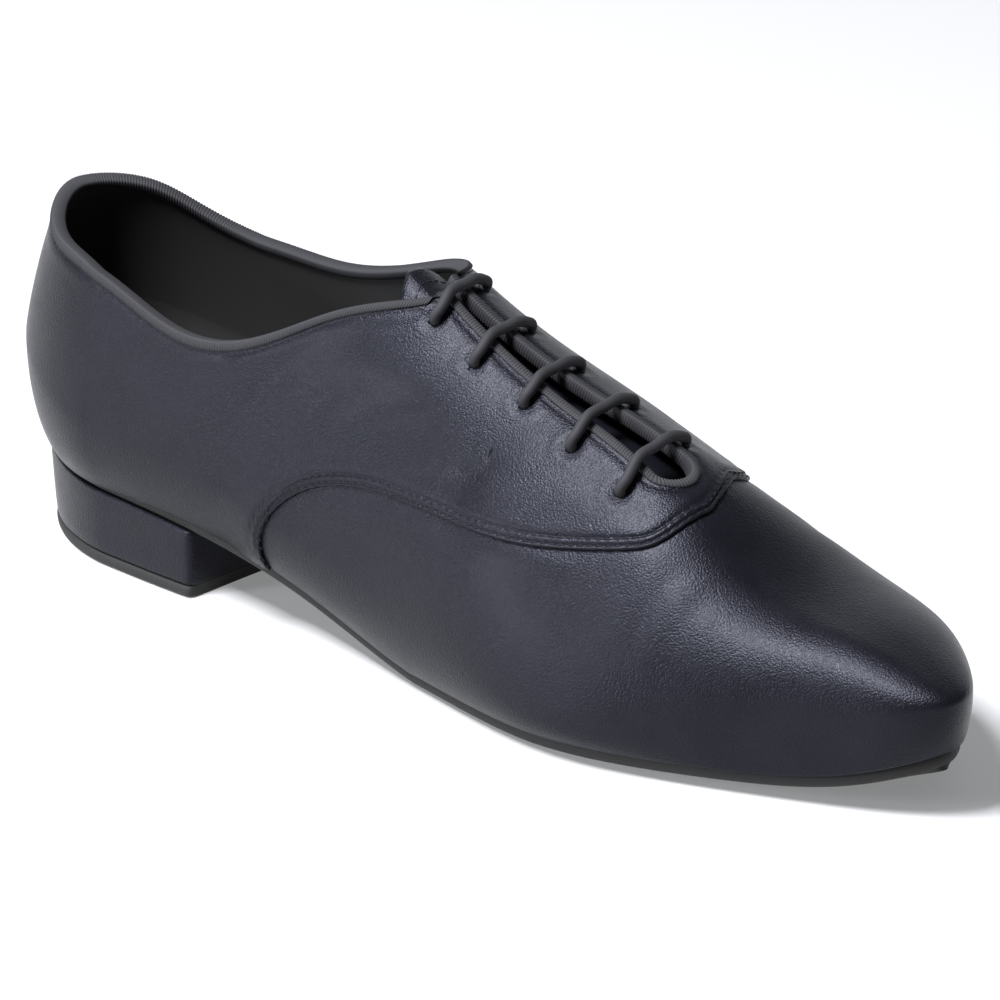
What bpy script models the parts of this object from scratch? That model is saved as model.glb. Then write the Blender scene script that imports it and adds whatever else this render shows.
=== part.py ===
"""Men's right ballroom dance shoe: a closed-throat oxford on a low covered heel, laced with five bars.

Metres. +X runs from heel to toe, +Z is up, and the outer side of the foot is at -Y. The origin is the
centre of the heel's tread, on the floor.
"""

import math

import bmesh
import bpy
import numpy as np
from mathutils import Matrix, Vector

# Sizes of the last
LENGTH = 0.296
BALL_WIDTH = 0.094
INSTEP_HEIGHT = 0.086
COLLAR_HEIGHT = 0.079
HEEL_HEIGHT = 0.0232
TOE_SPRING = 0.0123

# Upper
WALL = 0.0020
LAP_STEP = 0.0007
LAP_WIDTH = 0.008
OUTER_START_GAP = 0.0023
INNER_START_GAP = 0.0012
THROAT_END_GAP = 0.0108
OUTER_CORNER = 0.0040
INNER_CORNER = 0.0032

# Binding, lace and eyelets
TAPE = 0.0006
TAPE_LEG = 0.0018
TAPE_GAP = 0.0005
LACE = 0.0027
LACE_BEND = 0.0020

# Tongue, insole, sole and heel
TONGUE = 0.0015
TONGUE_WIDTH = 0.040
TONGUE_TOP = 0.011
INSOLE = 0.0025
SOLE = 0.0033
SOLE_INSET = 0.0012
EDGE_LIFT = 0.0011
EDGE_START = 0.70
HEEL_LENGTH = 0.0765
HEEL_LEDGE = 0.0008
HEEL_FLARE = 0.0004
HEEL_LEAN = 0.0026
TOP_PIECE = 0.0030
CLEARANCE = 0.0003

# Places along the last, as shares of its length from the back of the heel
HEEL_CENTRE = 0.15
OUTER_FACING = 0.470
INNER_FACING = 0.464
THROAT_END = 0.709
TOE_START = 0.623
TOP_START = 0.663

# How much further back the seam crosses on the inner side of the crest
SEAM_BACK = 0.019

# Powers of the ovals that close the heel and the toe, and the softness of the crest
HEEL_POWER = 1.8
TOE_POWER = 2.06
TOP_POWER = 2.06
CREST_SOFT = 0.22
TUCK_TURN = math.radians(58)

# Sections of the last from heel to toe. Crest, outer, inner and tuck are shares of the ball width,
# top and belt of the instep height, pitch of the heel height, spring of the toe spring, edge of the
# sole's edge lift, and sole of its thickness. Peak and fullness are the powers of the crown, and lean
# is its side slope.
COLUMNS = ("along", "crest", "outer", "inner", "top", "belt", "tuck", "peak", "fullness", "lean",
           "pitch", "spring", "edge", "sole")
SECTIONS = (
    (0.00, -0.03, 0.37, 0.35, 1.26, 0.33, 0.050, 2.4, 1.15, 0.00, 1.00, 0.0, 0.0, 0.33),
    (0.12, -0.03, 0.365, 0.35, 1.27, 0.21, 0.045, 2.3, 1.15, 0.00, 0.85, 0.0, 0.0, 0.40),
    (0.25, -0.02, 0.36, 0.37, 1.27, 0.18, 0.035, 2.2, 1.15, 0.00, 0.75, 0.0, 0.1, 0.90),
    (0.38, -0.01, 0.36, 0.41, 1.19, 0.185, 0.050, 1.5, 1.30, 0.00, 0.40, 0.0, 0.7, 1.00),
    (0.50, -0.03, 0.38, 0.50, 0.995, 0.18, 0.040, 1.2, 1.75, 0.00, 0.03, 0.0, 1.0, 1.00),
    (0.62, -0.03, 0.43, 0.54, 0.84, 0.11, 0.030, 1.2, 1.80, 0.05, -0.02, -0.02, 1.0, 1.00),
    (0.72, -0.029, 0.428, 0.535, 0.734, 0.062, 0.022, 1.22, 1.62, 0.05, -0.01, 0.04, 1.0, 1.00),
    (0.82, -0.014, 0.348, 0.551, 0.540, 0.107, 0.006, 1.90, 2.00, 0.03, 0.00, 0.112, 1.0, 1.00),
    (0.92, 0.004, 0.268, 0.494, 0.524, 0.159, 0.003, 2.05, 2.05, 0.02, 0.00, 0.341, 1.0, 1.00),
    (1.00, 0.011, 0.282, 0.336, 0.480, 0.133, 0.028, 2.05, 2.05, 0.00, 0.00, 1.00, 1.0, 1.00),
)

# Top edge of the quarters: share of the way from heel back to facing corner, then its height on the
# outer and the inner side as shares of the collar height
COLLAR = (
    (0.00, 1.012, 1.012),
    (0.09, 0.975, 0.984),
    (0.17, 0.97, 0.924),
    (0.26, 0.97, 0.881),
    (0.39, 0.92, 0.870),
    (0.52, 0.86, 0.870),
    (0.65, 0.875, 0.920),
    (0.76, 0.957, 0.992),
    (0.84, 1.03, 1.050),
)

# Lapped seam of the quarters over the vamp: share of the length, and height as a share of the wall
SEAM = (
    (0.351, -0.02),
    (0.352, 0.08),
    (0.364, 0.18),
    (0.384, 0.27),
    (0.415, 0.365),
    (0.460, 0.46),
    (0.510, 0.53),
    (0.575, 0.583),
    (0.640, 0.63),
    (0.690, 0.695),
    (0.725, 0.785),
    (0.745, 0.89),
    (0.755, 1.03),
)

# Eyelets from the ankle to the toe: share of the length and distance from the crest as a share of
# the ball width, on the outer side and then on the inner side
EYELETS = (
    (0.4818, 0.090, 0.4755, 0.106),
    (0.5290, 0.097, 0.5265, 0.108),
    (0.5835, 0.099, 0.5800, 0.110),
    (0.6395, 0.116, 0.6380, 0.110),
    (0.6960, 0.128, 0.6930, 0.110),
)

# How finely the skins are divided
HEEL_COLUMNS = 9
QUARTER_COLUMNS = 10
THROAT_COLUMNS = 11
TOE_COLUMNS = 13
LOWER_ROWS = 7
UPPER_ROWS = 6
SEAM_HALF_STEP = 0.005
LOWEST_SEAM = -0.85
MERGE = 1e-6


def curve_slopes(places, values):
    """Second slopes of the smooth curve through a table's values, with free ends."""
    gaps = np.diff(places)
    slopes = np.diff(values) / gaps
    system = np.eye(len(places))
    turns = np.zeros(len(places))
    for i in range(1, len(places) - 1):
        system[i, i - 1:i + 2] = gaps[i - 1], 2 * (gaps[i - 1] + gaps[i]), gaps[i]
        turns[i] = 6 * (slopes[i] - slopes[i - 1])
    return np.linalg.solve(system, turns)


def curve_through(places, values, at):
    """Height of the smooth curve through a table's values."""
    places = np.asarray(places, float)
    values = np.asarray(values, float)
    bends = curve_slopes(places, values)
    at = np.clip(at, places[0], places[-1])
    i = np.clip(np.searchsorted(places, at, side="right") - 1, 0, len(places) - 2)
    gap = places[i + 1] - places[i]
    right = (at - places[i]) / gap
    left = 1 - right
    bow = (left**3 - left) * bends[i] + (right**3 - right) * bends[i + 1]
    return left * values[i] + right * values[i + 1] + bow * gap**2 / 6


TABLE = {name: np.array(values) for name, values in zip(COLUMNS, zip(*SECTIONS))}


def section(name, along):
    return curve_through(TABLE["along"], TABLE[name], along)


def closing(along, start, power):
    """1 up to the share start, then round like a quarter oval down to 0 at the toe tip."""
    reach = np.clip((along - start) / (1 - start), 0, 1)
    return np.clip(1 - reach**power, 0, 1) ** (1 / power)


def behind_centre(along):
    """Sections behind the heel's centre keep the form of the section there."""
    return np.maximum(along, HEEL_CENTRE)


def tread_height(along):
    """Underside of the sole above the floor, flat on the floor under the ball."""
    pitch = np.maximum(section("pitch", along), 0)
    spring = np.maximum(section("spring", along), 0)
    return HEEL_HEIGHT * pitch + TOE_SPRING * spring


def feather_height(along):
    """Top of the sole, where the upper's lower edge stands."""
    return tread_height(along) + EDGE_LIFT * section("edge", along) + SOLE * section("sole", along)


def crest_y(along):
    return BALL_WIDTH * section("crest", behind_centre(along))


def reach(along, side):
    """Width from the crest to the belt line on one side, before heel and toe are rounded."""
    place = behind_centre(along)
    outer = section("outer", place) + section("crest", place)
    inner = section("inner", place) - section("crest", place)
    return BALL_WIDTH * np.where(side < 0, outer, inner)


def belt_height(along):
    """Height of the belt line, where the upper is widest."""
    return feather_height(along) + INSTEP_HEIGHT * section("belt", along)


def crest_height(along):
    belt = belt_height(along)
    full = INSTEP_HEIGHT * section("top", behind_centre(along))
    return belt + (full - belt) * closing(along, TOP_START, TOP_POWER)


SOFT_SPAN = math.sqrt(1 + CREST_SOFT**2) - CREST_SOFT


def crown(along, share):
    """Height of the skin between belt, 0, and crest, 1, at a share of the way out to the belt."""
    place = behind_centre(along)
    soft = (np.sqrt(share**2 + CREST_SOFT**2) - CREST_SOFT) / SOFT_SPAN
    fall = np.clip(soft, 0, 1) ** section("peak", place)
    return np.clip(1 - fall, 0, 1) ** (1 / section("fullness", place))


def share_at(along, height):
    """Share of the way out to the belt at which the skin has this height."""
    place = behind_centre(along)
    belt = belt_height(along)
    rise = np.clip((height - belt) / (crest_height(along) - belt), 0, 1)
    soft = (1 - rise ** section("fullness", place)) ** (1 / section("peak", place))
    return np.sqrt(np.maximum((soft * SOFT_SPAN + CREST_SOFT) ** 2 - CREST_SOFT**2, 0))


def plan_share(x, y):
    """0 on the crest line and 1 on the belt line, seen from above."""
    along = x / LENGTH
    offset = y - crest_y(along)
    width = reach(along, np.sign(offset)) * closing(along, TOE_START, TOE_POWER)
    across = np.abs(offset) / np.maximum(width, MERGE)
    back = np.clip(1 - along / HEEL_CENTRE, 0, None)
    rounded = (back**HEEL_POWER + across**HEEL_POWER) ** (1 / HEEL_POWER)
    return np.where(back > 0, rounded, across)


def skin_height(x, y):
    """Outer skin of the last above its belt line."""
    along = x / LENGTH
    share = np.clip(plan_share(x, y), 0, 1)
    belt = belt_height(along)
    offset = y - crest_y(along)
    lean = section("lean", along) * offset * (1 - share**2)
    return belt + (crest_height(along) - belt) * crown(along, share) + lean


def skin_point(x, y):
    """A point on the skin's upper part and the normal there, from the skin's slopes."""
    small = 0.0005
    slope_x = (skin_height(x + small, y) - skin_height(x - small, y)) / (2 * small)
    slope_y = (skin_height(x, y + small) - skin_height(x, y - small)) / (2 * small)
    normal = np.array([-slope_x, -slope_y, 1.0])
    return np.array([x, y, float(skin_height(x, y))]), normal / np.linalg.norm(normal)


def on_skin(x, y, depth):
    """The point this far under the skin; a negative depth is above it."""
    point, normal = skin_point(x, y)
    return point - normal * depth


def facing_start(side):
    return OUTER_FACING if side < 0 else INNER_FACING


def throat_half_gap(along, side):
    """From the crest to a facing, widening from the facing's corner to the throat's round end."""
    start = facing_start(side)
    start_gap = OUTER_START_GAP if side < 0 else INNER_START_GAP
    round_off = OUTER_CORNER if side < 0 else INNER_CORNER
    way = np.clip((along - start) / (THROAT_END - start), 0, 1)
    straight = start_gap + (THROAT_END_GAP / 2 - start_gap) * way
    into_corner = np.clip(round_off - (along - start) * LENGTH, 0, round_off)
    return straight + round_off - np.sqrt(round_off**2 - into_corner**2)


def collar_top(along, side):
    """Height of the quarters' top edge at a share of the length behind the facing corner."""
    start = facing_start(side)
    corner = crest_y(start) + side * throat_half_gap(start, side)
    places = [row[0] for row in COLLAR] + [1.0]
    heights = [COLLAR_HEIGHT * row[1 if side < 0 else 2] for row in COLLAR]
    heights.append(float(skin_height(start * LENGTH, corner)))
    return curve_through(places, heights, along / start)


def half_loop(side):
    """Plan places of the wall's feet on the belt line and of its top edge, heel back to toe tip."""
    centre = HEEL_CENTRE * LENGTH
    turn = np.linspace(0, math.pi / 2, HEEL_COLUMNS + 1)[:-1]
    back = np.cos(turn) ** (2 / HEEL_POWER)
    out = np.sin(turn) ** (2 / HEEL_POWER)
    width = reach(HEEL_CENTRE, side)
    heel_foot = np.stack([centre * (1 - back), crest_y(0) + side * width * out], 1)
    share = share_at(HEEL_CENTRE, collar_top(heel_foot[:, 0] / LENGTH, side))
    heel_top = np.stack([centre * (1 - share * back), crest_y(0) + side * share * width * out], 1)

    even = np.linspace(0, 1, QUARTER_COLUMNS)
    start = facing_start(side)
    along = HEEL_CENTRE + (start - HEEL_CENTRE) * (1 - (1 - even) ** 1.5)
    share = share_at(along, collar_top(along, side))
    quarter_top_y = crest_y(along) + side * share * reach(along, side)
    quarter_top_y[-1] = crest_y(start) + side * throat_half_gap(start, side)
    quarter_foot = np.stack([along * LENGTH, crest_y(along) + side * reach(along, side)], 1)
    quarter_top = np.stack([along * LENGTH, quarter_top_y], 1)

    even = np.linspace(0, 1, THROAT_COLUMNS + 1)[1:]
    along = start + (THROAT_END - start) * even**1.25
    width = reach(along, side) * closing(along, TOE_START, TOE_POWER)
    throat_foot = np.stack([along * LENGTH, crest_y(along) + side * width], 1)
    gap = throat_half_gap(along, side)
    throat_top = np.stack([along * LENGTH, crest_y(along) + side * gap], 1)

    even = np.linspace(0, 1, TOE_COLUMNS + 1)[1:]
    along = 1 - (1 - THROAT_END) * (1 - even) ** 1.9
    width = reach(along, side) * closing(along, TOE_START, TOE_POWER)
    toe_foot = np.stack([along * LENGTH, crest_y(along) + side * width], 1)
    turn = even * math.pi / 2
    radius = THROAT_END_GAP / 2
    turned_y = crest_y(THROAT_END) + side * radius * np.cos(turn)
    toe_top = np.stack([THROAT_END * LENGTH + radius * np.sin(turn), turned_y], 1)
    feet = np.concatenate([heel_foot, quarter_foot, throat_foot, toe_foot])
    tops = np.concatenate([heel_top, quarter_top, throat_top, toe_top])
    return feet, tops


def joined_loop(outer, inner):
    """One loop round the shoe: out along the outer side to the toe tip and back along the inner."""
    return np.concatenate([outer, inner[-2:0:-1]])


def loop_inward(feet):
    """Unit plan directions pointing in from the belt line."""
    tangent = np.roll(feet, -1, 0) - np.roll(feet, 1, 0)
    tangent /= np.linalg.norm(tangent, axis=1)[:, None]
    return np.stack([-tangent[:, 1], tangent[:, 0]], 1)


OUTER_LOOP = half_loop(-1)
INNER_LOOP = half_loop(1)
FEET = joined_loop(OUTER_LOOP[0], INNER_LOOP[0])
TOPS = joined_loop(OUTER_LOOP[1], INNER_LOOP[1])
INWARD = loop_inward(FEET)
HALF = len(OUTER_LOOP[0])


def wall_points(step):
    """Points of the outer skin. Step is -1 at the lower edge, 0 at the belt and 1 at the top edge."""
    foot_along = FEET[:, 0] / LENGTH
    turn = np.clip(-step, 0, 1) * TUCK_TURN
    tuck = BALL_WIDTH * section("tuck", foot_along)
    inset = tuck * (1 - np.cos(turn)) / (1 - math.cos(TUCK_TURN))
    climb = np.clip(step, 0, 1) ** section("fullness", behind_centre(foot_along))
    plan = FEET + INWARD * inset[..., None] + (TOPS - FEET) * climb[..., None]
    lift = INSTEP_HEIGHT * section("belt", foot_along)
    tucked = feather_height(plan[..., 0] / LENGTH) + CLEARANCE
    tucked = tucked + (lift - CLEARANCE) * (1 - np.sin(turn) / math.sin(TUCK_TURN))
    crowned = skin_height(plan[..., 0], plan[..., 1])
    blend = np.where(step < 0, tucked, crowned)
    return np.concatenate([plan, blend[..., None]], -1)


def seam_height(along):
    """Height share of the lapped seam, under the wall behind the seam and over it in front."""
    rows = np.array(SEAM)
    order = np.arange(len(rows))
    fine = np.linspace(0, len(rows) - 1, 200)
    places = curve_through(order, rows[:, 0], fine)
    heights = curve_through(order, rows[:, 1], fine)
    places = np.maximum.accumulate(places)
    rise = (heights[-1] - heights[-9]) / (places[-1] - places[-9])
    beyond = np.maximum(along - places[-1], 0) * rise
    return np.interp(along, places, heights, left=-1) + beyond


def seam_steps(fine, points):
    """Step at which each column crosses the lapped seam, or the lowest one where it doesn't."""
    along = points[..., 0] / LENGTH
    low = feather_height(along)
    height = (points[..., 2] - low) / (crest_height(along) - low)
    inside = points[..., 1] - crest_y(along)
    back = SEAM_BACK * np.clip(inside / (0.16 * BALL_WIDTH), 0, 1)
    over = height - seam_height(along + back)
    steps = np.full(points.shape[1], LOWEST_SEAM)
    for column in range(points.shape[1]):
        under = np.nonzero(over[:, column] < 0)[0]
        if len(under) and under[-1] + 1 < len(fine):
            i = under[-1]
            part = over[i, column] / (over[i, column] - over[i + 1, column])
            steps[column] = fine[i] + part * (fine[i + 1] - fine[i])
    return np.maximum(steps, LOWEST_SEAM)


def row_steps():
    """Steps of the wall's rows in every column, closer where the wall turns, with two at the seam."""
    fine = np.linspace(-1, 1, 161)
    points = wall_points(fine[:, None] * np.ones(len(FEET)))
    hops = np.diff(points, axis=0)
    lengths = np.linalg.norm(hops, axis=2)
    heading = hops / lengths[..., None]
    turns = np.arccos(np.clip((heading[1:] * heading[:-1]).sum(2), -1, 1))
    turns = np.concatenate([turns[:1] * 0, turns])
    weight = lengths / lengths.sum(0) + turns / turns.sum(0)
    measure = np.concatenate([weight[:1] * 0, np.cumsum(weight, 0)])
    seam = seam_steps(fine, points)
    rows = np.zeros((LOWER_ROWS + UPPER_ROWS, len(FEET)))
    travelled = np.concatenate([lengths[:1] * 0, np.cumsum(lengths, 0)])
    from_seam = np.zeros_like(rows)
    for j in range(len(FEET)):
        low, high = seam[j] - SEAM_HALF_STEP, seam[j] + SEAM_HALF_STEP
        marks = np.interp([-1, low, high, 1], fine, measure[:, j])
        lower = np.linspace(marks[0], marks[1], LOWER_ROWS)
        upper = np.linspace(marks[2], marks[3], UPPER_ROWS)
        rows[:, j] = np.interp(np.concatenate([lower, upper]), measure[:, j], fine)
        rows[LOWER_ROWS - 1:LOWER_ROWS + 1, j] = low, high
        place = np.interp(rows[:, j], fine, travelled[:, j])
        from_seam[:, j] = place - np.interp(seam[j], fine, travelled[:, j])
    return rows, seam, from_seam


def grid_normals(points):
    """Outward unit normals of a skin whose columns close into a loop."""
    round_loop = np.roll(points, -1, 1) - np.roll(points, 1, 1)
    up = np.gradient(points, axis=0)
    normals = np.cross(round_loop, up)
    return normals / np.linalg.norm(normals, axis=2)[..., None]


def closed_rows(points):
    """The same rows with the first column again at the end."""
    return np.concatenate([points, points[:, :1]], 1)


def upper_skins():
    """Outer and inner skins of the upper, row by row from the lower edge to the top edge."""
    rows, seam, from_seam = row_steps()
    base = wall_points(rows)
    normals = grid_normals(base)
    lapped = np.clip(1 - (from_seam - LAP_WIDTH) / LAP_WIDTH, 0, 1)
    lapped = lapped * (from_seam > 0) * (seam > LOWEST_SEAM)
    outer = base + normals * (LAP_STEP * lapped)[..., None]
    inner = base - normals * WALL
    inner[0, :, 2] = base[0, :, 2]
    return outer, inner, normals


def skin_mesh(name, points):
    """A closed mesh through rows of points; rows and columns that end where they began are joined."""
    rows, columns = points.shape[:2]
    shape = bmesh.new()
    bmesh.ops.create_grid(shape, x_segments=columns - 1, y_segments=rows - 1, size=1)
    for vert in shape.verts:
        column = round((vert.co.x + 1) / 2 * (columns - 1))
        row = round((vert.co.y + 1) / 2 * (rows - 1))
        vert.co = Vector(points[row, column])
    bmesh.ops.remove_doubles(shape, verts=shape.verts, dist=MERGE)
    bmesh.ops.holes_fill(shape, edges=shape.edges, sides=0)
    bmesh.ops.recalc_face_normals(shape, faces=shape.faces)
    mesh = bpy.data.meshes.new(name)
    shape.to_mesh(mesh)
    shape.free()
    return mesh


def material(name, color, roughness):
    finish = bpy.data.materials.new(name)
    finish.use_nodes = True
    shader = finish.node_tree.nodes["Principled BSDF"]
    shader.inputs["Base Color"].default_value = (*color, 1)
    shader.inputs["Roughness"].default_value = roughness
    shader.inputs["Metallic"].default_value = 0
    return finish


def placed(name, mesh, finish):
    """One object of the shoe, with its place moved so that the heel's tread is at the origin."""
    mesh.materials.append(finish)
    mesh.shade_smooth()
    mesh.set_sharp_from_angle(angle=math.radians(40))
    piece = bpy.data.objects.new(name, mesh)
    bpy.context.scene.collection.objects.link(piece)
    piece.matrix_world = Matrix.Translation((-HEEL_MIDDLE, 0, 0))
    return piece


def eyelet_places(side):
    """Plan places of one side's eyelets, from the ankle to the toe."""
    places = []
    for row in EYELETS:
        along, out = row[:2] if side < 0 else row[2:]
        places.append((along * LENGTH, float(crest_y(along)) + side * out * BALL_WIDTH))
    return places


def eyelet_cutter():
    """Round drills through both facings, one for each eyelet."""
    shape = bmesh.new()
    for side in (-1, 1):
        for x, y in eyelet_places(side):
            point, normal = skin_point(x, y)
            turn = Vector((0, 0, 1)).rotation_difference(Vector(normal)).to_matrix().to_4x4()
            at = Matrix.Translation(Vector(point - normal * WALL / 2)) @ turn
            radius = LACE / 2 + CLEARANCE
            bmesh.ops.create_cone(shape, cap_ends=True, segments=12, radius1=radius,
                                  radius2=radius, depth=4 * WALL, matrix=at)
    mesh = bpy.data.meshes.new("eyelet_cutter")
    shape.to_mesh(mesh)
    shape.free()
    cutter = bpy.data.objects.new("eyelet_cutter", mesh)
    cutter.hide_render = True
    cutter.display_type = "WIRE"
    bpy.context.scene.collection.objects.link(cutter)
    cutter.matrix_world = Matrix.Translation((-HEEL_MIDDLE, 0, 0))
    return cutter


def make_upper(finish):
    outer, inner, normals = upper_skins()
    ring = np.concatenate([outer, inner[::-1], outer[:1]])
    upper = placed("upper", skin_mesh("upper", closed_rows(ring)), finish)
    cut = upper.modifiers.new("eyelets", "BOOLEAN")
    cut.operation = "DIFFERENCE"
    cut.object = eyelet_cutter()


def make_binding(finish):
    """Folded tape astride the whole top edge, round the collar and the throat."""
    outer, inner, normals = upper_skins()
    edges = (outer[-1], inner[-1])
    away = normals[-1]
    up = outer[-1] - outer[-2]
    up -= away * (up * away).sum(1)[:, None]
    up /= np.linalg.norm(up, axis=1)[:, None]
    near = TAPE_GAP
    far = near + TAPE
    soft = near + TAPE / 2
    profile = (
        (0, near, -TAPE_LEG), (0, far, -TAPE_LEG), (0, far, soft), (0, soft, far),
        (1, -soft, far), (1, -far, soft), (1, -far, -TAPE_LEG), (1, -near, -TAPE_LEG),
        (1, -near, near), (0, near, near), (0, near, -TAPE_LEG),
    )
    rows = [edges[side] + away * across + up * height for side, across, height in profile]
    placed("edge_binding", skin_mesh("edge_binding", closed_rows(np.array(rows))), finish)


def slab(name, outline, low, high):
    """A thin piece across the shoe between two heights that are functions of the place along it."""
    outer = outline[:HALF]
    inner = np.concatenate([outline[:1], outline[:HALF - 2:-1]])
    rows = []
    for plan, height in ((outer, high), (inner, high), (inner, low), (outer, low), (outer, high)):
        rows.append(np.concatenate([plan, height(plan[:, 0] / LENGTH)[:, None]], 1))
    return skin_mesh(name, np.array(rows))


def foot_outline(inset):
    """Outline in plan, set in from the upper's lower edge."""
    tuck = BALL_WIDTH * section("tuck", FEET[:, 0] / LENGTH)
    return FEET + INWARD * (tuck + inset)[:, None]


def make_insole(finish):
    def low(along):
        return feather_height(along) + CLEARANCE

    def high(along):
        return low(along) + INSOLE

    mesh = slab("insole", foot_outline(WALL + 2 * CLEARANCE), low, high)
    placed("insole", mesh, finish)


def make_outsole(finish):
    """Flat on the floor under the ball, with its edge lifted a little all round the forepart."""
    outline = foot_outline(SOLE_INSET)
    outer = outline[:HALF]
    inner = np.concatenate([outline[:1], outline[:HALF - 2:-1]])
    rows = []
    for share, top in ((0, True), (1, True), (1, False), (EDGE_START, False), (1 - EDGE_START, False),
                       (0, False), (0, True)):
        plan = outer + (inner - outer) * share
        along = plan[:, 0] / LENGTH
        lift = EDGE_LIFT * section("edge", along) * (share in (0, 1))
        height = feather_height(along) if top else tread_height(along) + lift
        rows.append(np.concatenate([plan, height[:, None]], 1))
    placed("outsole", skin_mesh("outsole", np.array(rows)), finish)


def heel_outline(inset, lean):
    """D-shaped outline under the heel seat, its round back moved forward by the heel's lean."""
    loop = foot_outline(SOLE_INSET + inset)
    outer = loop[:HALF]
    inner = np.concatenate([loop[:1], loop[:HALF - 2:-1]])
    sides = []
    for plan in (outer, inner):
        kept = plan[plan[:, 0] < HEEL_LENGTH - 2 * CLEARANCE]
        breast_y = np.interp(HEEL_LENGTH, plan[:HALF - TOE_COLUMNS, 0], plan[:HALF - TOE_COLUMNS, 1])
        sides.append(np.concatenate([kept, [[HEEL_LENGTH, breast_y]]]))
    count = min(len(side) for side in sides)
    outline = [np.concatenate([side[:count - 1], side[-1:]]) for side in sides]
    for side in outline:
        side[:, 0] += lean * (1 - side[:, 0] / HEEL_LENGTH)
    return outline


def heel_solid(name, bottom, top, low, high):
    """A loft between two heel outlines, closed by the flat breast."""
    rows = []
    for outline, side, height in ((top, 0, high), (top, 1, high), (bottom, 1, low), (bottom, 0, low),
                                  (top, 0, high)):
        plan = outline[side]
        rows.append(np.concatenate([plan, height(plan[:, 0] / LENGTH)[:, None]], 1))
    return skin_mesh(name, np.array(rows))


def make_heel(leather, suede):
    def block_low(along):
        return along * 0 + TOP_PIECE + CLEARANCE

    def block_high(along):
        return tread_height(along) - CLEARANCE

    def floor(along):
        return along * 0

    def piece_high(along):
        return along * 0 + TOP_PIECE

    seat = heel_outline(-HEEL_LEDGE, 0)
    foot = heel_outline(-HEEL_LEDGE - HEEL_FLARE, HEEL_LEAN)
    placed("heel_block", heel_solid("heel_block", foot, seat, block_low, block_high), leather)
    placed("heel_top_piece", heel_solid("heel_top_piece", foot, foot, floor, piece_high), suede)


def tongue_depth(along):
    """Depth of the tongue's top under the skin: below the lace, then up under the vamp."""
    under_lace = WALL + LACE_BEND + LACE / 2 + 2 * CLEARANCE
    under_vamp = WALL + CLEARANCE * 2
    way = (along - THROAT_END) * LENGTH / THROAT_END_GAP
    rise = np.clip((way - 1.1) / 0.9, 0, 1)
    return under_lace + (under_vamp - under_lace) * rise * rise * (3 - 2 * rise)


def make_tongue(finish):
    """Leather tongue under the facings, sewn under the vamp in front of the throat."""
    start = OUTER_FACING * LENGTH - TONGUE_TOP
    end = THROAT_END * LENGTH + THROAT_END_GAP * 2.4
    stations = 20
    across = 8
    skins = []
    for extra in (0, TONGUE):
        rows = []
        for i in range(stations + 1):
            way = i / stations
            x = start + (end - start) * way
            narrow = (1 - 0.25 * way) * (1 - max(0, 1 - way * 9) ** 2 * 0.25)
            row = []
            for k in range(across + 1):
                share = 2 * k / across - 1
                round_top = TONGUE_TOP * 0.4 * share**4 * max(0, 1 - way * 4)
                at_x = x + round_top
                y = float(crest_y(at_x / LENGTH)) + share * narrow * TONGUE_WIDTH / 2
                row.append(on_skin(at_x, y, float(tongue_depth(at_x / LENGTH)) + extra))
            rows.append(row)
        skins.append(np.array(rows))
    top, under = skins
    ring = np.concatenate([top, under[:, ::-1], top[:, :1]], 1)
    placed("tongue", skin_mesh("tongue", ring), finish)


def lace_route():
    """Points along the lace: five bars over the throat and the runs hidden under the facings."""
    outer = eyelet_places(-1)
    inner = eyelet_places(1)
    under = WALL + LACE_BEND
    over_tape = -(CLEARANCE * 4 + TAPE + LACE / 2)
    path = []

    def hole(x, y, downwards, inwards_from, inwards_to):
        """Up or down through an eyelet, with a round bend at each end."""
        point, normal = skin_point(x, y)
        bends = []
        for direction, level in ((inwards_from, -1), (inwards_to, 1)):
            flat = np.array([*direction, 0.0])
            flat -= normal * (flat @ normal)
            flat /= np.linalg.norm(flat)
            above = (level < 0) == downwards
            surface = point if above else point - normal * WALL
            out = normal if above else -normal
            turn = []
            for angle in (90, 65, 40, 20, 0):
                a = math.radians(angle)
                centre = surface + flat * LACE_BEND
                turn.append(centre - flat * LACE_BEND * math.cos(a) + out * LACE_BEND * math.sin(a))
            bends.append(turn if level < 0 else turn[::-1])
        path.extend(bends[0] + bends[1])

    def bar(start, end):
        """Over the throat, lifted clear of the bound edges."""
        rests = []
        for way in (0.3, 0.7):
            x = start[0] + (end[0] - start[0]) * way
            y = start[1] + (end[1] - start[1]) * way
            rests.append(on_skin(x, y, over_tape))
        path.extend([rests[0], (rests[0] + rests[1]) / 2, rests[1]])

    def run(start, end, shift=0.0, points=5):
        """Under a facing from one eyelet towards the next."""
        for way in np.linspace(0, 1, points + 2)[1:-1]:
            x = start[0] + (end[0] - start[0]) * way
            y = start[1] + (end[1] - start[1]) * way + shift
            path.append(on_skin(x, y, under))

    forward, across = (1, 0), (0, 1)
    side = 0
    rows = (outer, inner)
    first = outer[0]
    path.append(on_skin(first[0] - 1.5 * LACE, first[1], under))
    came = (-1, 0)
    for i in range(len(EYELETS)):
        start, end = rows[side][i], rows[1 - side][i]
        over = across if side == 0 else (0, -1)
        hole(*start, False, came, over)
        bar(start, end)
        back = (0, -1) if side == 0 else across
        last = i == len(EYELETS) - 1
        hole(*end, True, back, (-1, 0.9) if last else forward)
        side = 1 - side
        if not last:
            run(rows[side][i], rows[side][i + 1])
        came = (-1, 0)
    tail = rows[side]
    shift = LACE + 2 * CLEARANCE + LACE / 2
    away = shift if side else -shift
    for i in range(len(EYELETS) - 1, 0, -1):
        run(tail[i], tail[i - 1], away, 4)
        x, y = tail[i - 1]
        if i > 1:
            path.append(on_skin(x, y + away, under))
    return path


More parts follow.
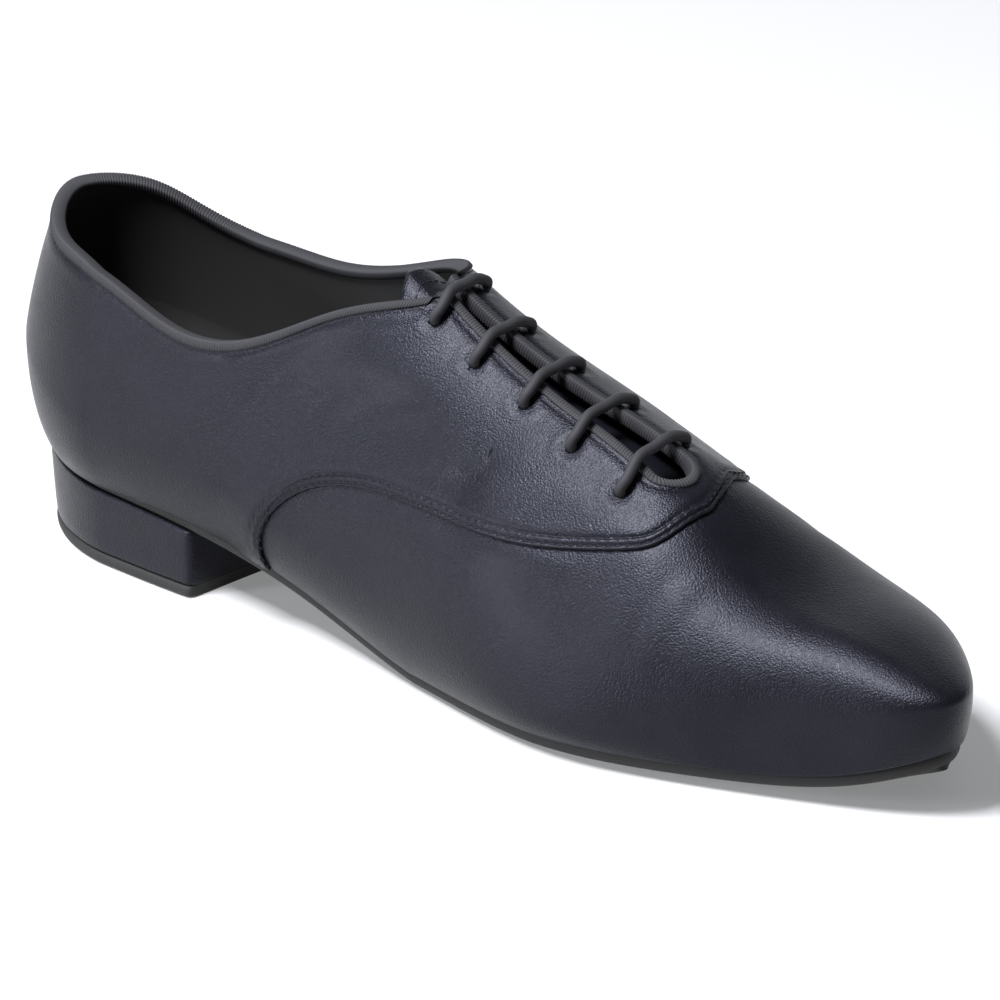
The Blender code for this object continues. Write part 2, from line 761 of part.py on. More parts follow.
def make_lace(finish):
    """Round cord held by the eyelets all the way, one piece."""
    route = lace_route()
    curve = bpy.data.curves.new("lace", "CURVE")
    curve.dimensions = "3D"
    curve.bevel_depth = LACE / 2
    curve.bevel_resolution = 2
    curve.use_fill_caps = True
    spline = curve.splines.new("POLY")
    spline.points.add(len(route) - 1)
    for point, place in zip(spline.points, route):
        point.co = (*place, 1)
    spline.use_smooth = True
    curve.materials.append(finish)
    lace = bpy.data.objects.new("lace", curve)
    bpy.context.scene.collection.objects.link(lace)
    lace.matrix_world = Matrix.Translation((-HEEL_MIDDLE, 0, 0))


def clear_scene():
    for item in list(bpy.data.objects):
        bpy.data.objects.remove(item, do_unlink=True)


# The heel's tread runs from its set-in back to the breast; its middle is the shoe's origin
HEEL_BACK = foot_outline(SOLE_INSET - HEEL_LEDGE - HEEL_FLARE)[0, 0] + HEEL_LEAN
HEEL_MIDDLE = (HEEL_BACK + HEEL_LENGTH) / 2


def make_shoe():
    clear_scene()
    leather = material("black_leather", (0.022, 0.023, 0.028), 0.38)
    tape = material("black_tape", (0.020, 0.020, 0.024), 0.75)
    cord = material("black_cord", (0.016, 0.016, 0.018), 0.85)
    suede = material("black_suede", (0.010, 0.010, 0.011), 0.95)
    lining = material("dark_lining", (0.014, 0.014, 0.015), 0.80)
    make_upper(leather)
    make_binding(tape)
    make_tongue(leather)
    make_insole(lining)
    make_outsole(suede)
    make_heel(leather, suede)
    make_lace(cord)


make_shoe()
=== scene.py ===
"""Men's right ballroom dance shoe in black leather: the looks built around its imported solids.

Metres. +X runs from heel to toe, +Z is up, the outer side of the foot is at -Y, and the origin is the
centre of the heel's tread. The skins are worked out from the last's sizes and sections, as the solids are.
"""

import math

import bmesh
import bpy
import numpy as np
from bpy.props import FloatProperty, FloatVectorProperty, PointerProperty
from mathutils import Matrix, Vector


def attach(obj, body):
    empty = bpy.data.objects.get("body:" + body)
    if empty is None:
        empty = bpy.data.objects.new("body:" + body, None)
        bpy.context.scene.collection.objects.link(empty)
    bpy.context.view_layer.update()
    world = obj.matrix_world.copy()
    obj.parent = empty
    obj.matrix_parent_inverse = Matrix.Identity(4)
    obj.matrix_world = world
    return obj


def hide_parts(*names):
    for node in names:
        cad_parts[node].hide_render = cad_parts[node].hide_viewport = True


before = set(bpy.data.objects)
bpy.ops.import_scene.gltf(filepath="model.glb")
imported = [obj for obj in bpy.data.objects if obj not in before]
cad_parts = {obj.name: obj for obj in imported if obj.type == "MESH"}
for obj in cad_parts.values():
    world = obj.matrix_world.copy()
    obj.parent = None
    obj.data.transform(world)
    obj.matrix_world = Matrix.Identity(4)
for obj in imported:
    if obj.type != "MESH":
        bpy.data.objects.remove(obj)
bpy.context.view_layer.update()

bl_info = {
    "name": "Ballroom dance shoe",
    "version": (1, 0, 0),
    "blender": (4, 5, 0),
    "location": "3D View > Sidebar > Shoe",
    "description": "Builds a men's laced ballroom shoe, piece by piece, around its solids",
    "category": "Add Mesh",
}

# Sections of the last from heel to toe. Crest, outer, inner and tuck are shares of the ball width,
# top and belt of the instep height, pitch of the heel height, spring of the toe spring, edge of the
# sole's edge lift, and sole of its thickness. Peak and fullness are the powers of the crown, and lean
# is its side slope.
COLUMNS = ("along", "crest", "outer", "inner", "top", "belt", "tuck", "peak", "fullness", "lean",
           "pitch", "spring", "edge", "sole")
SECTIONS = (
    (0.00, -0.03, 0.37, 0.35, 1.26, 0.33, 0.050, 2.4, 1.15, 0.00, 1.00, 0.0, 0.0, 0.33),
    (0.12, -0.03, 0.365, 0.35, 1.27, 0.21, 0.045, 2.3, 1.15, 0.00, 0.85, 0.0, 0.0, 0.40),
    (0.25, -0.02, 0.36, 0.37, 1.27, 0.18, 0.035, 2.2, 1.15, 0.00, 0.75, 0.0, 0.1, 0.90),
    (0.38, -0.01, 0.36, 0.41, 1.19, 0.185, 0.050, 1.5, 1.30, 0.00, 0.40, 0.0, 0.7, 1.00),
    (0.50, -0.03, 0.38, 0.50, 0.995, 0.18, 0.040, 1.2, 1.75, 0.00, 0.03, 0.0, 1.0, 1.00),
    (0.62, -0.03, 0.43, 0.54, 0.84, 0.11, 0.030, 1.2, 1.80, 0.05, -0.02, -0.02, 1.0, 1.00),
    (0.72, -0.029, 0.428, 0.535, 0.734, 0.062, 0.022, 1.22, 1.62, 0.05, -0.01, 0.04, 1.0, 1.00),
    (0.82, -0.014, 0.348, 0.551, 0.540, 0.107, 0.006, 1.90, 2.00, 0.03, 0.00, 0.112, 1.0, 1.00),
    (0.92, 0.004, 0.268, 0.494, 0.524, 0.159, 0.003, 2.05, 2.05, 0.02, 0.00, 0.341, 1.0, 1.00),
    (1.00, 0.011, 0.282, 0.336, 0.480, 0.133, 0.028, 2.05, 2.05, 0.00, 0.00, 1.00, 1.0, 1.00),
)

# Top edge of the quarters: share of the way from heel back to facing corner, then its height on the
# outer and the inner side as shares of the collar height
COLLAR = (
    (0.00, 1.012, 1.012),
    (0.09, 0.975, 0.984),
    (0.17, 0.97, 0.924),
    (0.26, 0.97, 0.881),
    (0.39, 0.92, 0.870),
    (0.52, 0.86, 0.870),
    (0.65, 0.875, 0.920),
    (0.76, 0.957, 0.992),
    (0.84, 1.03, 1.050),
)

# Lapped seam of the quarters over the vamp: share of the length, and height as a share of the wall
SEAM = (
    (0.351, -0.02),
    (0.352, 0.08),
    (0.364, 0.18),
    (0.384, 0.27),
    (0.415, 0.365),
    (0.460, 0.46),
    (0.510, 0.53),
    (0.575, 0.583),
    (0.640, 0.63),
    (0.690, 0.695),
    (0.725, 0.785),
    (0.745, 0.89),
    (0.755, 1.03),
)

# Eyelets from the ankle to the toe: share of the length and distance from the crest as a share of
# the ball width, on the outer side and then on the inner side
EYELETS = (
    (0.4818, 0.090, 0.4755, 0.106),
    (0.5290, 0.097, 0.5265, 0.108),
    (0.5835, 0.099, 0.5800, 0.110),
    (0.6395, 0.116, 0.6380, 0.110),
    (0.6960, 0.128, 0.6930, 0.110),
)

# Soft creases and swells of the leather: share of the length, share of the wall's height on the outer
# (-1) or inner (1) side, then half length, half width, turn from the shoe's length in degrees, and depth
# in millimetres; a negative depth is a swell
CREASES = (
    (0.300, -1, 0.62, 16, 3.5, 70, 0.35),
    (0.345, -1, 0.50, 13, 3.0, 55, 0.30),
    (0.410, -1, 0.60, 14, 3.0, 35, 0.30),
    (0.470, -1, 0.72, 12, 2.6, 25, 0.25),
    (0.560, -1, 0.72, 12, 2.6, 20, 0.22),
    (0.640, -1, 0.60, 16, 3.2, 10, -0.25),
    (0.470, -1, 0.80, 15, 8.0, 10, -0.70),
    (0.565, -1, 0.74, 17, 7.0, 75, 0.75),
    (0.665, -1, 0.82, 18, 6.0, 0, -0.45),
    (0.760, -1, 0.72, 13, 3.0, 80, 0.25),
    (0.790, -1, 0.80, 13, 3.0, 75, 0.20),
    (0.330, 1, 0.50, 14, 3.2, 60, 0.30),
    (0.450, 1, 0.60, 14, 3.2, 35, 0.30),
    (0.770, 1, 0.72, 13, 3.0, 80, 0.25),
    (0.600, 1, 0.60, 15, 3.0, 20, 0.25),
)

# Skins of the upper: the vamp's leather, the quarters' over it, where the lining starts under the
# surface, how far the vamp turns in under the foot, and what the quarters press the vamp down by
VAMP_LEATHER = 0.0011
QUARTER_LEATHER = 0.0005
LINING_START = 0.00125
TURNED_IN = 0.004
PRESSED = 0.0006

# Angle through which the wall is tucked in under the foot
TUCK_TURN = math.radians(58)

# Columns of the half loops: round the heel, to the facing's corner, along the throat and round the toe
HALF_COLUMNS = (48, 90, 110, 110)

# Columns of a quarter's half skin: behind the lapped seam and along it
BEHIND_SEAM = 110
ALONG_SEAM = 330

# Rows of the quarters' skin: millimetres from the lapped seam and from the top edge, closer together
# at the lap, at its two rows of stitches and at the row under the tape
NEAR_SEAM = (0, 0.1, 0.22, 0.36, 0.55, 0.75, 0.95, 1.15, 1.35, 1.6, 1.9, 2.2, 2.45, 2.65, 2.85, 3.05,
             3.25, 3.6, 4.2, 5.2, 6.6)
NEAR_EDGE = (7.4, 5.8, 4.8, 4.1, 3.6, 3.2, 2.8, 2.3, 1.6, 0.8, 0)
MIDDLE_ROWS = 26
STITCH_ROWS = (0.95, 2.85)
TAPE_STITCHES = 2.8

MERGE = 1e-6
SLOPE_STEP = 0.0005
SIDES = (-1, 1)


def length_property(name, description, default):
    """A length that a user may set, in metres."""
    return FloatProperty(name=name, description=description, default=default, min=0.00001, unit="LENGTH",
                         precision=5)


def share_property(name, description, default):
    return FloatProperty(name=name, description=description, default=default)


class ShoeSizes(bpy.types.PropertyGroup):
    """Sizes of the last and of the pieces on it."""

    length: length_property("Length", "From heel back to toe tip", 0.296)
    ball_width: length_property("Ball width", "Width that the section shares are taken of", 0.094)
    instep_height: length_property("Instep height", "Height that the section shares are taken of", 0.086)
    collar_height: length_property("Collar height", "Height of the quarters' top edge", 0.079)
    heel_height: length_property("Heel height", "Floor to the sole at the heel's back", 0.0232)
    toe_spring: length_property("Toe spring", "Rise of the sole at the toe tip", 0.0123)
    wall: length_property("Wall", "Leather and lining together", 0.0020)
    lap: length_property("Lap", "Thickness of the quarters where they lap over the vamp", 0.0007)
    outer_start_gap: length_property("Outer gap", "From the crest to the outer facing's start", 0.0023)
    inner_start_gap: length_property("Inner gap", "From the crest to the inner facing's start", 0.0012)
    throat_end_gap: length_property("Gap at the end", "Between the facings at the round end", 0.0108)
    outer_corner: length_property("Outer corner", "Radius of the outer facing's corner", 0.0040)
    inner_corner: length_property("Inner corner", "Radius of the inner facing's corner", 0.0015)
    tape: length_property("Tape", "Thickness of the binding", 0.0006)
    tape_leg: length_property("Tape leg", "Depth of the binding below the edge", 0.0018)
    rib: length_property("Rib", "Pitch of the binding's ribs", 0.00078)
    lace: length_property("Lace", "Diameter of the lace", 0.0027)
    lace_bend: length_property("Lace bend", "Radius of the lace's turns into the eyelets", 0.0020)
    tongue: length_property("Tongue", "Thickness of the tongue", 0.0015)
    tongue_width: length_property("Tongue width", "Width of the tongue", 0.040)
    tongue_top: length_property("Tongue top", "Rise of the tongue behind the facings", 0.011)
    insole: length_property("Insole", "Thickness of the insole", 0.0025)
    sole: length_property("Sole", "Thickness of the sole at its edge", 0.0033)
    sole_inset: length_property("Sole inset", "Sole's edge inside the upper's", 0.0012)
    edge_lift: length_property("Edge lift", "Rise of the sole's lower edge from the floor", 0.0011)
    heel_length: length_property("Heel length", "From the last's back to the breast", 0.0765)
    heel_ledge: length_property("Heel ledge", "Heel outside the sole's edge", 0.0008)
    heel_flare: length_property("Heel flare", "Widening of the heel towards the floor", 0.0004)
    heel_lean: length_property("Heel lean", "Heel's back forward of its top, at the floor", 0.0026)
    top_piece: length_property("Top piece", "Thickness of the heel's top piece", 0.0030)
    clearance: length_property("Clearance", "Gap between pieces", 0.0003)
    stitch: length_property("Stitch", "Pitch of the seam's stitches", 0.0024)
    heel_centre: share_property("Heel centre", "Centre of the round heel", 0.15)
    outer_facing: share_property("Outer facing", "Corner of the outer facing", 0.470)
    inner_facing: share_property("Inner facing", "Corner of the inner facing", 0.464)
    throat_end: share_property("Throat end", "Centre of the throat's round end", 0.709)
    seam_back: share_property("Seam back", "How much further back the seam is on the inner side", 0.019)
    toe_start: share_property("Toe start", "Where the outline starts to close", 0.623)
    top_start: share_property("Top start", "Where the top line starts to fall", 0.663)
    heel_power: share_property("Heel power", "Squareness of the heel's outline", 1.8)
    toe_power: share_property("Toe power", "Squareness of the toe's outline", 2.06)
    top_power: share_property("Top power", "Squareness of the toe's top line", 2.06)
    crest_soft: share_property("Crest softness", "Roundness over the crest", 0.22)
    edge_start: share_property("Edge start", "Where the flat tread ends across the sole", 0.70)


def colour_property(name, description, default):
    return FloatVectorProperty(name=name, description=description, default=default, subtype="COLOR",
                               size=3, min=0, max=1)


class ShoeColours(bpy.types.PropertyGroup):
    """Colours of the materials."""

    leather: colour_property("Leather", "Smooth calf leather", (0.0058, 0.0060, 0.0085))
    tape: colour_property("Tape", "Grosgrain binding", (0.016, 0.016, 0.019))
    cord: colour_property("Cord", "Lace", (0.012, 0.012, 0.014))
    suede: colour_property("Suede", "Sole and heel top piece", (0.009, 0.009, 0.010))
    lining: colour_property("Lining", "Lining and insole", (0.010, 0.010, 0.0105))
    thread: colour_property("Thread", "Stitching", (0.010, 0.010, 0.012))
    floor: colour_property("Floor", "Floor of the stage", (0.50, 0.50, 0.50))


# The last


def curve_slopes(places, values):
    """Second slopes of the smooth curve through a table's values, with free ends."""
    gaps = np.diff(places)
    slopes = np.diff(values) / gaps
    system = np.eye(len(places))
    turns = np.zeros(len(places))
    for i in range(1, len(places) - 1):
        system[i, i - 1:i + 2] = gaps[i - 1], 2 * (gaps[i - 1] + gaps[i]), gaps[i]
        turns[i] = 6 * (slopes[i] - slopes[i - 1])
    return np.linalg.solve(system, turns)


def curve_through(places, values, at):
    """Height of the smooth curve through a table's values."""
    places = np.asarray(places, float)
    values = np.asarray(values, float)
    bends = curve_slopes(places, values)
    at = np.clip(at, places[0], places[-1])
    i = np.clip(np.searchsorted(places, at, side="right") - 1, 0, len(places) - 2)
    gap = places[i + 1] - places[i]
    right = (at - places[i]) / gap
    left = 1 - right
    bow = (left**3 - left) * bends[i] + (right**3 - right) * bends[i + 1]
    return left * values[i] + right * values[i + 1] + bow * gap**2 / 6


def closing(along, start, power):
    """1 up to the share start, then round like a quarter oval down to 0 at the toe tip."""
    way = np.clip((along - start) / (1 - start), 0, 1)
    return np.clip(1 - way**power, 0, 1) ** (1 / power)


def smooth_step(value):
    value = np.clip(value, 0, 1)
    return value * value * (3 - 2 * value)


def bump(value, centre, width):
    return np.exp(-((value - centre) / width) ** 2)


class Last:
    """The last, from which every skin, edge and seam of the shoe is worked out."""

    def __init__(self):
        self.s = bpy.context.scene.shoe_sizes
        self.soft_span = math.sqrt(1 + self.s.crest_soft**2) - self.s.crest_soft
        self.table = {name: np.array(values) for name, values in zip(COLUMNS, zip(*SECTIONS))}
        self.halves = {side: self.half_loop(side, *HALF_COLUMNS) for side in SIDES}
        self.feet, self.tops, self.inward = self.full_loop()
        inset = self.s.sole_inset - self.s.heel_ledge - self.s.heel_flare
        back = self.foot_outline(inset)[0, 0] + self.s.heel_lean
        self.middle = (back + self.s.heel_length) / 2

    def share(self, name, along):
        return curve_through(self.table["along"], self.table[name], along)

    def behind(self, along):
        """Sections behind the heel's centre keep the form of the section there."""
        return np.maximum(along, self.s.heel_centre)

    def tread(self, along):
        """Underside of the sole above the floor."""
        pitch = np.maximum(self.share("pitch", along), 0)
        spring = np.maximum(self.share("spring", along), 0)
        return self.s.heel_height * pitch + self.s.toe_spring * spring

    def feather(self, along):
        """Top of the sole at its edge, where the upper's lower edge stands."""
        lift = self.s.edge_lift * self.share("edge", along)
        return self.tread(along) + lift + self.s.sole * self.share("sole", along)

    def crest_y(self, along):
        return self.s.ball_width * self.share("crest", self.behind(along))

    def width(self, along, side):
        """Width from the crest to the belt line on one side, before heel and toe are rounded."""
        place = self.behind(along)
        outer = self.share("outer", place) + self.share("crest", place)
        inner = self.share("inner", place) - self.share("crest", place)
        return self.s.ball_width * np.where(side < 0, outer, inner)

    def belt(self, along):
        return self.feather(along) + self.s.instep_height * self.share("belt", along)

    def crest(self, along):
        belt = self.belt(along)
        full = self.s.instep_height * self.share("top", self.behind(along))
        return belt + (full - belt) * closing(along, self.s.top_start, self.s.top_power)

    def crown(self, along, share):
        """Height of the skin between belt, 0, and crest, 1, at a share of the way out."""
        place = self.behind(along)
        soft = (np.sqrt(share**2 + self.s.crest_soft**2) - self.s.crest_soft) / self.soft_span
        fall = np.clip(soft, 0, 1) ** self.share("peak", place)
        return np.clip(1 - fall, 0, 1) ** (1 / self.share("fullness", place))

    def share_at(self, along, height):
        """Share of the way out to the belt at which the skin has this height."""
        place = self.behind(along)
        belt = self.belt(along)
        rise = np.clip((height - belt) / (self.crest(along) - belt), 0, 1)
        soft = (1 - rise ** self.share("fullness", place)) ** (1 / self.share("peak", place))
        inner = (soft * self.soft_span + self.s.crest_soft) ** 2 - self.s.crest_soft**2
        return np.sqrt(np.maximum(inner, 0))

    def plan_share(self, x, y):
        """0 on the crest line and 1 on the belt line, seen from above."""
        along = x / self.s.length
        offset = y - self.crest_y(along)
        shut = closing(along, self.s.toe_start, self.s.toe_power)
        across = np.abs(offset) / np.maximum(self.width(along, np.sign(offset)) * shut, MERGE)
        back = np.clip(1 - along / self.s.heel_centre, 0, None)
        power = self.s.heel_power
        return np.where(back > 0, (back**power + across**power) ** (1 / power), across)

    def skin_height(self, x, y):
        along = x / self.s.length
        share = np.clip(self.plan_share(x, y), 0, 1)
        belt = self.belt(along)
        lean = self.share("lean", along) * (y - self.crest_y(along)) * (1 - share**2)
        return belt + (self.crest(along) - belt) * self.crown(along, share) + lean

    def skin_point(self, x, y):
        """Points on the skin's upper part and the normals there."""
        x, y = np.asarray(x, float), np.asarray(y, float)
        step = SLOPE_STEP
        slope_x = (self.skin_height(x + step, y) - self.skin_height(x - step, y)) / (2 * step)
        slope_y = (self.skin_height(x, y + step) - self.skin_height(x, y - step)) / (2 * step)
        normal = np.stack([-slope_x, -slope_y, np.ones_like(slope_x)], -1)
        normal /= np.linalg.norm(normal, axis=-1, keepdims=True)
        return np.stack([x, y, self.skin_height(x, y)], -1), normal

    def on_skin(self, x, y, depth):
        """Points this far under the skin."""
        point, normal = self.skin_point(x, y)
        return point - normal * np.asarray(depth)[..., None]

    def facing(self, side):
        return self.s.outer_facing if side < 0 else self.s.inner_facing

    def half_gap(self, along, side):
        """From the crest to a facing."""
        s = self.s
        start = self.facing(side)
        gap = s.outer_start_gap if side < 0 else s.inner_start_gap
        corner = s.outer_corner if side < 0 else s.inner_corner
        way = np.clip((along - start) / (s.throat_end - start), 0, 1)
        straight = gap + (s.throat_end_gap / 2 - gap) * way
        into = np.clip(corner - (along - start) * s.length, 0, corner)
        return straight + corner - np.sqrt(corner**2 - into**2)

    def collar_top(self, along, side):
        """Height of the quarters' top edge behind the facing corner."""
        facing = self.facing(side)
        corner = self.crest_y(facing) + side * self.half_gap(facing, side)
        places = [row[0] for row in COLLAR] + [1.0]
        heights = [self.s.collar_height * row[1 if side < 0 else 2] for row in COLLAR]
        heights.append(float(self.skin_height(facing * self.s.length, corner)))
        return curve_through(places, heights, along / facing)

    def half_loop(self, side, heel, quarter, throat, toe):
        """Plan places of the wall's feet on the belt line and of its top edge, and the way inwards."""
        s = self.s
        centre = s.heel_centre * s.length
        turn = np.linspace(0, math.pi / 2, heel + 1)[:-1]
        back = np.cos(turn) ** (2 / s.heel_power)
        out = np.sin(turn) ** (2 / s.heel_power)
        width = self.width(s.heel_centre, side)
        middle = self.crest_y(0)
        feet = [np.stack([centre * (1 - back), middle + side * width * out], 1)]
        share = self.share_at(s.heel_centre, self.collar_top(feet[0][:, 0] / s.length, side))
        tops = [np.stack([centre * (1 - share * back), middle + side * share * width * out], 1)]

        def stretch(along, top_x, top_y):
            """One stretch of feet on the belt line and of the top edge over them."""
            reach = self.width(along, side) * closing(along, s.toe_start, s.toe_power)
            feet.append(np.stack([along * s.length, self.crest_y(along) + side * reach], 1))
            tops.append(np.stack([top_x, top_y], 1))

        even = np.linspace(0, 1, quarter)
        start = self.facing(side)
        along = s.heel_centre + (start - s.heel_centre) * (1 - (1 - even) ** 1.5)
        share = self.share_at(along, self.collar_top(along, side))
        top_y = self.crest_y(along) + side * share * self.width(along, side)
        top_y[-1] = self.crest_y(start) + side * self.half_gap(start, side)
        stretch(along, along * s.length, top_y)

        even = np.linspace(0, 1, throat + 1)[1:]
        along = start + (s.throat_end - start) * even**1.25
        stretch(along, along * s.length, self.crest_y(along) + side * self.half_gap(along, side))

        even = np.linspace(0, 1, toe + 1)[1:]
        turn = even * math.pi / 2
        radius = s.throat_end_gap / 2
        turned = self.crest_y(s.throat_end) + side * radius * np.cos(turn)
        along = 1 - (1 - s.throat_end) * (1 - even) ** 1.9
        stretch(along, s.throat_end * s.length + radius * np.sin(turn), turned)
        feet = np.concatenate(feet)
        tops = np.concatenate(tops)
        mirror = np.array([1, -1])
        before = np.concatenate([[feet[1] * mirror + (0, 2 * feet[0, 1])], feet[:-1]])
        ahead = np.concatenate([feet[1:], [feet[-2] * mirror + (0, 2 * feet[-1, 1])]])
        tangent = ahead - before
        tangent /= np.linalg.norm(tangent, axis=1)[:, None]
        inward = np.stack([tangent[:, 1], -tangent[:, 0]], 1) * side
        return feet, tops, inward

    def full_loop(self):
        """Out along the outer side from heel to toe and back along the inner side."""
        outer, inner = self.halves[-1], self.halves[1]
        return [np.concatenate([a, b[-2:0:-1]]) for a, b in zip(outer, inner)]

    def wall(self, feet, tops, inward, step):
        """Outer skin. Step is -1 at the lower edge, 0 at the belt and 1 at the top edge."""
        s = self.s
        along = feet[..., 0] / s.length
        turn = np.clip(-step, 0, 1) * TUCK_TURN
        tuck = s.ball_width * self.share("tuck", along)
        inset = tuck * (1 - np.cos(turn)) / (1 - math.cos(TUCK_TURN))
        climb = np.clip(step, 0, 1) ** self.share("fullness", self.behind(along))
        plan = feet + inward * inset[..., None] + (tops - feet) * climb[..., None]
        lift = s.instep_height * self.share("belt", along)
        seat = self.feather(plan[..., 0] / s.length)
        tucked = seat + lift * (1 - np.sin(turn) / math.sin(TUCK_TURN))
        crowned = self.skin_height(plan[..., 0], plan[..., 1])
        height = np.where(step < 0, tucked, crowned)
        return np.concatenate([plan, height[..., None]], -1)

    def whole_skin(self, steps):
        """The outer skin all round, a row for each step."""
        return self.wall(self.feet, self.tops, self.inward, steps[:, None] * np.ones(len(self.feet)))

    def at(self, side, place, step):
        """Outer skin of one side at a place counted along its half loop."""
        half = self.halves[side]
        index = np.arange(len(half[0]))
        parts = [np.stack([np.interp(place, index, part[:, k]) for k in (0, 1)], -1) for part in half]
        return self.wall(*parts, step)

    def foot_outline(self, inset):
        """Outline in plan, set in from the upper's lower edge."""
        tuck = self.s.ball_width * self.share("tuck", self.feet[:, 0] / self.s.length)
        return self.feet + self.inward * (tuck + inset)[:, None]

    def height_share(self, points):
        """Share of the wall's height above the sole."""
        along = points[..., 0] / self.s.length
        low = self.feather(along)
        return (points[..., 2] - low) / (self.crest(along) - low)

    def seam_share(self, points):
        """Height share of the lapped seam at each point's place along the shoe."""
        along = points[..., 0] / self.s.length
        inside = (points[..., 1] - self.crest_y(along)) / (0.16 * self.s.ball_width)
        along = along + self.s.seam_back * np.clip(inside, 0, 1)
        rows = np.array(SEAM)
        order = np.arange(len(rows))
        fine = np.linspace(0, len(rows) - 1, 400)
        places = curve_through(order, rows[:, 0], fine)
        heights = curve_through(order, rows[:, 1], fine)
        places = np.maximum.accumulate(places)
        rise = (heights[-1] - heights[-18]) / (places[-1] - places[-18])
        beyond = np.maximum(along - places[-1], 0) * rise
        return np.interp(along, places, heights, left=-1) + beyond

    def eyelet(self, side, number):
        along, out = EYELETS[number][:2] if side < 0 else EYELETS[number][2:]
        return along * self.s.length, float(self.crest_y(along)) + side * out * self.s.ball_width

    def eyelet_points(self):
        """Point and normal of the skin at every eyelet."""
        numbers = range(len(EYELETS))
        return [self.skin_point(*self.eyelet(side, number)) for side in SIDES for number in numbers]


# Mesh tools


def skin_mesh(name, points, keep_uvs=False):
    """A closed mesh through rows of points; rows and columns that end where they began are joined."""
    rows, columns = points.shape[:2]
    shape = bmesh.new()
    if keep_uvs:
        shape.loops.layers.uv.new("UVMap")
    bmesh.ops.create_grid(shape, x_segments=columns - 1, y_segments=rows - 1, size=1, calc_uvs=keep_uvs)
    for vert in shape.verts:
        column = round((vert.co.x + 1) / 2 * (columns - 1))
        row = round((vert.co.y + 1) / 2 * (rows - 1))
        vert.co = Vector(points[row, column])
    bmesh.ops.remove_doubles(shape, verts=shape.verts, dist=MERGE)
    bmesh.ops.holes_fill(shape, edges=shape.edges, sides=0)
    bmesh.ops.recalc_face_normals(shape, faces=shape.faces)
    mesh = bpy.data.meshes.new(name)
    shape.to_mesh(mesh)
    shape.free()
    return mesh


def placed(last, name, mesh, material, slot, *replaced):
    """Shows a finished piece where the solids are, in its finish, in place of the solids named."""
    mesh.transform(Matrix.Translation((-last.middle, 0, 0)))
    mesh.materials.append(material)
    mesh.shade_smooth()
    piece = bpy.data.objects.new(name, mesh)
    bpy.context.scene.collection.objects.link(piece)
    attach(piece, "root")
    if replaced:
        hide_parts(*replaced)
    return piece


def loop_normals(points):
    """Outward unit normals of a skin whose columns close into a loop."""
    round_loop = np.roll(points, -1, 1) - np.roll(points, 1, 1)
    up = np.gradient(points, axis=0)
    normals = np.cross(round_loop, up)
    return normals / np.maximum(np.linalg.norm(normals, axis=2), 1e-12)[..., None]


def looped(line):
    """A line that ends where it began."""
    return np.concatenate([line, line[:1]])


def closed_rows(points):
    return np.concatenate([points, points[:, :1]], 1)


def unit(vectors):
    """The same directions with length 1."""
    return vectors / np.linalg.norm(vectors, axis=-1, keepdims=True)


def lengths_along(line):
    """Distance travelled at each point of a line of points."""
    hops = np.linalg.norm(np.diff(line, axis=0), axis=1)
    return np.concatenate([[0], np.cumsum(hops)])


def evenly(line, count):
    """Fractional places along a line that are evenly spaced in length."""
    travelled = lengths_along(line)
    return np.interp(np.linspace(0, travelled[-1], count), travelled, np.arange(len(line)))


def pick(values, place):
    """Values of an array at fractional places along its first axis."""
    index = np.arange(len(values))
    flat = np.asarray(values, float).reshape(len(values), -1)
    found = np.stack([np.interp(place, index, flat[:, k]) for k in range(flat.shape[1])], -1)
    return found.reshape(np.shape(place) + np.shape(values)[1:])


def nearest(points, line):
    """Distance from each point to a dense line of points, and the length travelled along it there."""
    flat = points.reshape(-1, 3)
    travelled = lengths_along(line)
    far = np.empty(len(flat))
    place = np.empty(len(flat))
    for start in range(0, len(flat), 4000):
        part = flat[start:start + 4000]
        apart = ((part[:, None] - line[None]) ** 2).sum(2)
        found = apart.argmin(1)
        far[start:start + 4000] = np.sqrt(apart[np.arange(len(part)), found])
        place[start:start + 4000] = travelled[found]
    return far.reshape(points.shape[:-1]), place.reshape(points.shape[:-1])


# The seam and the relief of the leather


def seam_line(last, side):
    """The lap's edge on one side as places and steps: up from the sole and forward to the crest."""
    count = len(last.halves[side][0])
    fine = np.linspace(-1, 1, 201)
    grid = last.at(side, np.arange(count)[None] * np.ones((201, 1)), fine[:, None] * np.ones(count))
    over = last.height_share(grid) - last.seam_share(grid)
    steps = np.full(count, -1.0)
    for column in range(count):
        under = np.nonzero(over[:, column] < 0)[0]
        if len(under) and under[-1] + 1 < len(fine):
            i = under[-1]
            part = over[i, column] / (over[i, column] - over[i + 1, column])
            steps[column] = fine[i] + part * (fine[i + 1] - fine[i])
    start = int(np.argmax(steps > -0.99))
    place = np.concatenate([np.full(16, start), np.arange(start, count)])
    step = np.concatenate([np.linspace(-1, steps[start], 17)[:-1], steps[start:]])
    return place, step


